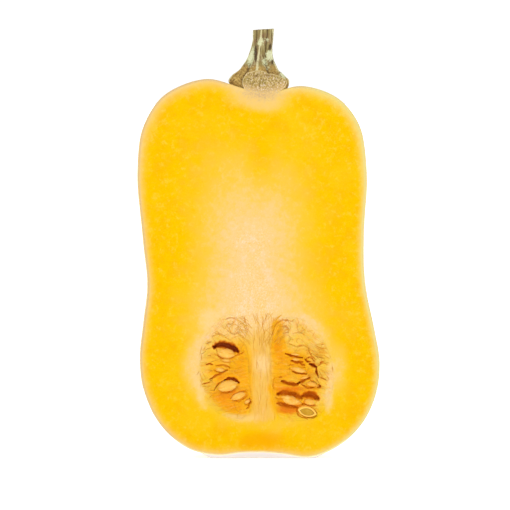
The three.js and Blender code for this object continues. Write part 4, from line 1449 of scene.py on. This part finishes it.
# The stalk: height, half width, middle and groove depth from its foot up; the cut takes a slice off
# the front of the foot, and the top is cut nearly level.
stalk = {
    "table": [
        (171, 6, 0.3, 0), (176, 11.5, 0.2, 0.05), (179.6, 14, 0.1, 0.08), (182, 14.3, 0, 0.1),
        (184.4, 12.6, 0.1, 0.14), (186.7, 10, 0.5, 0.17), (189.1, 8.3, 0.8, 0.2),
        (192, 6.7, 1.1, 0.22), (196.3, 5.5, 1.65, 0.2), (201.1, 5.1, 2.4, 0.18),
        (205.4, 5.2, 2.75, 0.16), (207, 5.2, 2.85, 0.16),
    ],
    "axis": (8.6, 0.02, 171),
    # half as many as its ribs, their turn and how far they twist, and how full they are
    "ribs": (2.5, 0.35, 0.25),
    "ribPower": 0.8,
    # how far it goes into the fruit, whose top begins at this share of the outline
    "sink": 0.75,
    "over": 12.4 / 15,
    "sides": 260,
    "steps": 170,
    # points tried on a column to find its ends, and the last of them, which the top lies among
    "samples": 160,
    "topSamples": 60,
    # bark covers the foot below these heights; fibres and lumps as scales across and up, their height
    # on wood and what bark adds to it
    "bark": (192, 184),
    "fibres": ((1.1, 0.16), 0.13, -0.04),
    "lumps": ((0.7, 0.55), 0.05, 0.16),
    # an edge along each rib: its height, where it starts and how much less it is on bark
    "ridge": (0.17, 0.965, 0.4),
    "inwards": 0.12,
    "lumpRise": 0.1,
    "noiseRadius": 6,
    # hollows and a bulge in the front of the foot: angle, its width, height, half width, depth
    "dents": [(3.86, 0.22, 180.5, 6, 2.2), (4.66, 0.5, 187.8, 2.5, 1.1), (5.76, 0.3, 179.8, 4.8, -2.1)],
    "slice": 0.13,
    # the cut top's height, its slope and the middle it slopes about
    "top": (206.2, 0.06, 2.5),
    # rings of the cut top: their share of its width and how far each is sunk, then the pith
    "capRings": [(0.96, -0.02), (0.86, 0.12), (0.7, 0.16), (0.5, 0.3), (0.3, 0.75), (0.16, 1.3)],
    "capRough": (1.6, 0.1),
    "pith": 1.4,
    "foot": (1.8, 7.0, 173.0),
    "facet": {"spacing": 0.4, "fromEdge": 0.15, "rough": (1.3, 0.05)},
    "offFacet": 9.0,
    "barkShade": (193, 186),
    # mint bloom and dark cracks as x, z, radii and how much, on the side that shows up to a depth; the
    # bloom behind it is noise
    "front": (9, 6),
    "mintBehind": (0.6, (0.2, 0.6), (2.5, 2.5, 4)),
    "mint": [
        (1.5, 200.4, 1.5, 2.2, 0.75), (5.6, 194, 1.9, 2.8, 1.3), (2.8, 190.6, 1.6, 2.0, 0.7),
        (0.2, 199.4, 0.9, 1.6, 0.6), (-3.9, 195.4, 2.0, 6.4, 1.5), (7.6, 205, 1.5, 2.4, 0.5),
        (4.6, 187.8, 1.6, 1.2, 0.6), (12.2, 184.6, 2.6, 2.4, 1.0), (-4.6, 203, 1.6, 3, 0.3),
        (4.3, 201.4, 1.1, 0.8, 0.75), (10.4, 187.4, 1.6, 1.4, 0.6),
    ],
    "dark": [
        (6.7, 190.7, 0.8, 1.3, 1.0), (5.7, 197.8, 0.9, 2.3, 1.1), (-1.2, 194.6, 0.8, 4.8, 1.3),
        (5.2, 187.2, 4.2, 1.9, 0.55), (4.4, 196.8, 0.8, 1.0, 0.5), (-6, 186.8, 4.5, 1.4, 0.35),
        (1.6, 203.8, 0.9, 1.4, 0.5), (6.6, 203.2, 0.6, 3.4, 0.8), (-13, 180.6, 3, 0.9, 0.6),
        (4.5, 184.2, 5, 1.2, 0.7), (-5, 184.6, 2, 1.2, 0.5), (-1.4, 183.9, 1.9, 1.1, 0.6),
    ],
}


# Height of the fruit's top at points of the plan, found on the columns of the outline beside them.
def fruitTop(x, y):
    upper = fruitPoints[int(stalk["over"] * fruit["steps"]) :]
    aside, behind = x - fruit["axis"][0], y - fruit["axis"][1]
    reach = np.hypot(upper[..., 0] - fruit["axis"][0], upper[..., 1] - fruit["axis"][1])
    column = np.mod(np.arctan2(behind, aside), 2 * math.pi) / (2 * math.pi) * fruit["sides"]
    heights = np.empty(len(x))
    for k, (c, far) in enumerate(zip(column, np.hypot(aside, behind))):
        sides = int(c) % fruit["sides"], (int(c) + 1) % fruit["sides"]
        before, after = (np.interp(far, reach[::-1, s], upper[::-1, s, 2]) for s in sides)
        heights[k] = before + (after - before) * (c % 1)
    return heights


def ribShare(angle, t):
    count, start, twist = stalk["ribs"]
    return np.abs(np.cos(count * (angle + start + twist * t / (len(stalk["table"]) - 1))))


def stalkSurface(angle, at):
    height, half, middle, groove = curveThrough(stalk["table"], at).T
    rib = ribShare(angle, at)
    reach = half * (1 - groove * (1 - rib ** stalk["ribPower"]))
    bark = smooth(*stalk["bark"], height)
    flat = [turn(angle) * np.ones(len(at)) * stalk["noiseRadius"] for turn in (np.cos, np.sin)]
    around = np.column_stack([*flat, height])
    (out, up), high, more = stalk["fibres"]
    fibres = (high + more * bark) * layered(around * (out, out, up), 51, 3)
    (out, up), high, more = stalk["lumps"]
    lumps = layered(around * (out, out, up), 57, 3)
    for turn, wide, level, tall, deep in stalk["dents"]:
        reach -= deep * np.exp(-(((angle - turn) / wide) ** 2) - ((height - level) / tall) ** 4)
    raised, sharp, less = stalk["ridge"]
    reach += raised * smooth(sharp, 1, rib) * (1 - less * bark)
    reach += fibres + (high + more * bark) * lumps - stalk["inwards"]
    axisDepth, drift, base = stalk["axis"]
    depth = axisDepth + drift * (height - base) + reach * math.sin(angle)
    height = height + stalk["lumpRise"] * bark * lumps
    return np.column_stack([middle + reach * math.cos(angle), depth, height])


# One column of the stalk, from just inside the fruit up to where the knife took its top.
def stalkColumn(angle):
    last = len(stalk["table"]) - 1
    rough = np.linspace(0, last, stalk["samples"])
    points = stalkSurface(angle, rough)
    over = points[:, 2] - fruitTop(points[:, 0], points[:, 1]) + stalk["sink"]
    first = int(np.argmax(over > 0))
    a, b = over[first - 1], over[first]
    start = rough[first - 1] + (rough[first] - rough[first - 1]) * (-a) / (b - a)
    level, slope, middle = stalk["top"]
    above = points[:, 2] - level - slope * (points[:, 0] - middle)
    high = slice(-stalk["topSamples"], None)
    end = np.interp(0, above[high], rough[high])
    share = np.linspace(0, 1, stalk["steps"] + 1)
    return stalkSurface(angle, start + (end - start) * share)


def stalkFields(coords, onFacet):
    x, y, z = coords.T
    table = np.array(stalk["table"])
    t = np.interp(z, table[:, 0], np.arange(len(table)))
    middle = np.interp(z, table[:, 0], table[:, 2])
    axisDepth, drift, base = stalk["axis"]
    angle = np.arctan2(y - axisDepth - drift * (z - base), x - middle)
    rib = ribShare(angle, t)
    front = smooth(*stalk["front"], y)
    much, limits, size = stalk["mintBehind"]
    behind = much * smooth(*limits, grain(coords / size, 71)) * (1 - front)
    return {
        "rib": rib,
        "mint": np.clip(blobs(x, z, stalk["mint"]) * front + behind, 0, 1),
        "dark": np.clip(blobs(x, z, stalk["dark"]) * front, 0, 1),
        "bark": smooth(*stalk["barkShade"], z),
        "above": np.where(onFacet, z - fruitTop(x, y), stalk["offFacet"]),
        "rim": np.full(len(x), stalk["offFacet"]),
    }


def buildStalk(materials):
    angles = np.arange(stalk["sides"]) * 2 * math.pi / stalk["sides"]
    columns = np.array([stalkColumn(angle) for angle in angles])
    rings = list(columns.transpose(1, 0, 2))
    top = rings[-1]
    middle = top.mean(axis=0)
    scale, high = stalk["capRough"]
    for share, sunk in stalk["capRings"]:
        ring = middle + (top - middle) * share
        ring[:, 2] -= sunk + high * layered(ring[:, :2] * scale, 61, 2)
        rings.append(ring)
    shell = ringMesh("shell", rings, np.array(stalk["foot"]), middle - (0, 0, stalk["pith"]))
    work = bmesh.new()
    work.from_mesh(shell.data)
    bpy.data.objects.remove(shell)
    plane = toFrame([(0, stalk["slice"], 0)])[0]
    coords, faces, loop = sliced(work, plane, near=1e-7, merge=1.5e-5)
    coords = coords * 1000 - shift
    cut = coords[loop][:, [0, 2]]
    facet = stalk["facet"]
    inner = scatter(cut.min(axis=0), cut.max(axis=0), facet["spacing"], 9)
    flat, source, triangles = fillFlat([cut], wellInside(inner, cut, facet["fromEdge"]))
    number, fresh = joinedTo(loop, source, len(coords))
    added, (scale, high) = flat[fresh], facet["rough"]
    depth = stalk["slice"] + high * grain(added * scale, 5)
    onFacet = np.arange(len(coords) + len(added)) >= len(coords)
    onFacet[loop] = True
    coords = np.vstack([coords, np.column_stack([added[:, 0], depth, added[:, 1]])])
    fields = stalkFields(coords, onFacet)
    fields["rim"][number] = fromLoop(flat, cut)
    kinds = [0] * len(faces) + [1] * len(triangles)
    faces += [tuple(number[k] for k in t) for t in triangles]
    return outwards(meshPiece("squash_stalk", coords, faces, materials, kinds, **fields))


# Dried squash peduncle: hard olive brown bark, pale corky ribs, mint grey bloom and dark cracks.
def stalkMaterial():
    material, tree, place = newMaterial("dry_squash_peduncle")
    fibres = noiseOf(tree, place, 1.1, 4.0, (1, 1, 0.14), 0.65)
    fine = noiseOf(tree, place, 0.45, 3.0, (1, 1, 0.3), 0.7)
    speckle = noiseOf(tree, place, 0.9, 4.0, rough=0.75)
    patches = noiseOf(tree, place, 3.2, 3.0)
    layers = [
        (patches, 0.45, 0.65, 0.6, "#826049"),
        (fibres, 0.5, 0.66, 0.75, "#AA9E71"),
        (fibres, 0.46, 0.32, 0.85, "#4B381E"),
        ("bark", speckle, 0.8, 0.4, 0.9, 0.75, "#AC8844"),
        ("bark", speckle, 4.0, 1.12, 1.4, 0.85, "#CDB068"),
        ("bark", speckle, -4.0, 1.15, 1.5, 0.85, "#432E19"),
        ("rib", fibres, 0.14, 0.965, 1.0, 0.9, "#CFC79A"),
        ("rib", fibres, 0.3, 0.3, 0.0, 0.75, "#47301C"),
        ("mint", speckle, 2.6, 0.35, 0.8, 0.9, "#CBCDA2"),
        ("mint", fine, 2.4, 0.9, 1.4, 0.8, "#E2E2C4"),
        ("dark", speckle, 1.2, 0.4, 0.95, 0.85, "#382413"),
    ]
    colour = overlay(tree, "#857545", layers)
    dry = {"Roughness": 0.85, "Specular IOR Level": 0.2}
    relief = mathOf(tree, "MULTIPLY_ADD", speckle, 0.7, fibres)
    return finishMaterial(material, colour, dry, (relief, 0.5))


# The same stalk sliced through: moist beige tissue with olive and grey pink grain, golden lower down.
def slicedStalkMaterial():
    material, tree, place = newMaterial("sliced_squash_peduncle")
    speckle = noiseOf(tree, place, 0.9, 4.0, rough=0.7)
    grainy = noiseOf(tree, place, 0.5, 3.0, (1, 1, 0.5), 0.7)
    patches = noiseOf(tree, place, 2.6, 3.0)
    layers = [
        (patches, 0.42, 0.62, 0.6, "#8B7839"),
        ("above", patches, 3.0, 5.5, 0.5, 0.6, "#BC9854"),
        (speckle, 0.53, 0.62, 0.85, "#CBB689"),
        (speckle, 0.47, 0.36, 0.9, "#593F1E"),
        (grainy, 0.56, 0.64, 0.85, "#D6C1AF"),
        (grainy, 0.42, 0.34, 0.7, "#49351A"),
        ("dark", speckle, 1.2, 0.4, 0.95, 0.7, "#694928"),
        ("rim", speckle, 1.2, 0.4, 0.1, 0.6, "#D4C28F"),
        ("above", grainy, 18.0, 2.0, -2.0, 0.8, "#BA9E7D"),
        ("above", speckle, 12.0, 1.2, -1.8, 0.85, "#D6B263"),
    ]
    colour = overlay(tree, "#A48A4C", layers)
    moist = {"Roughness": 0.6, "Specular IOR Level": 0.2}
    return finishMaterial(material, colour, moist, (speckle, 0.15))


stem = buildStalk([stalkMaterial(), slicedStalkMaterial()])
settle(stem, "stalk", "stalk")


# The table, the light and the camera.
studio = {
    "sky": 1.07,
    "tableReach": 6.0,
    "floorGlow": 0.6,
    # each light's place, size, power and colour, and the spot they are turned to
    "lights": [
        ("above", (-0.6, -0.9, 1.4), 1.0, 3.0, "#FFFFFF"),
        ("low", (0.2, -2.2, 0.3), 1.2, 2.5, "#FFFFFF"),
    ],
    "lit": (0, 0, 0.1),
    # the camera's distance in metres, its rise in degrees, and the width and middle of what it sees
    "distance": 3.0,
    "rise": 3.0,
    "frameWidth": 244.6,
    "target": (-1.6, 0.0, 98.2),
    "sensor": 36,
    "clip": (0.05, 20),
}


# A matt white table top that glows a little, so that it stays white in the shade.
def floorMaterial():
    material, tree, place = newMaterial("white_table")
    faint = noiseOf(tree, place, 60.0, 2.0)
    colour = overlay(tree, "#FDFDFD", [(faint, 0.4, 0.7, 0.3, "#FAFAFB")])
    glow = {"Emission Color": linear("#FFFFFF"), "Emission Strength": studio["floorGlow"]}
    return finishMaterial(material, colour, {"Roughness": 0.6, **glow})


def makeStage():
    mesh = bpy.data.meshes.new("table_top")
    reach = studio["tableReach"]
    corners = [(-reach, -reach, 0), (reach, -reach, 0), (reach, reach, 0), (-reach, reach, 0)]
    mesh.from_pydata(corners, [], [(0, 1, 2, 3)])
    mesh.materials.append(floorMaterial())
    placed("table_top", mesh)
    world = bpy.data.worlds.new("studio")
    world.use_nodes = True
    sky = world.node_tree.nodes["Background"].inputs
    sky[0].default_value, sky[1].default_value = linear("#FFFFFF"), studio["sky"]
    bpy.context.scene.world = world
    middle = Vector(studio["lit"])
    for name, place, size, power, colour in studio["lights"]:
        light = bpy.data.lights.new(name, "AREA")
        light.size, light.energy, light.color = size, power, linear(colour)[:3]
        lamp = placed(name, light)
        lamp.location = place
        lamp.rotation_euler = (middle - Vector(place)).to_track_quat("-Z", "Y").to_euler()


def makeCamera():
    camera = bpy.data.cameras.new("camera")
    camera.sensor_width = studio["sensor"]
    camera.lens = studio["sensor"] * studio["distance"] * 1000 / studio["frameWidth"]
    camera.clip_start, camera.clip_end = studio["clip"]
    eye = placed("camera", camera)
    rise = math.radians(studio["rise"])
    back = Vector((0, -math.cos(rise), math.sin(rise)))
    eye.location = Vector(toFrame([studio["target"]])[0]) + back * studio["distance"]
    eye.rotation_euler = (-back).to_track_quat("-Z", "Y").to_euler()
    bpy.context.scene.camera = eye


makeStage()
makeCamera()
bpy.context.scene.view_settings.view_transform = "Standard"
print("stage, light and camera are in place")
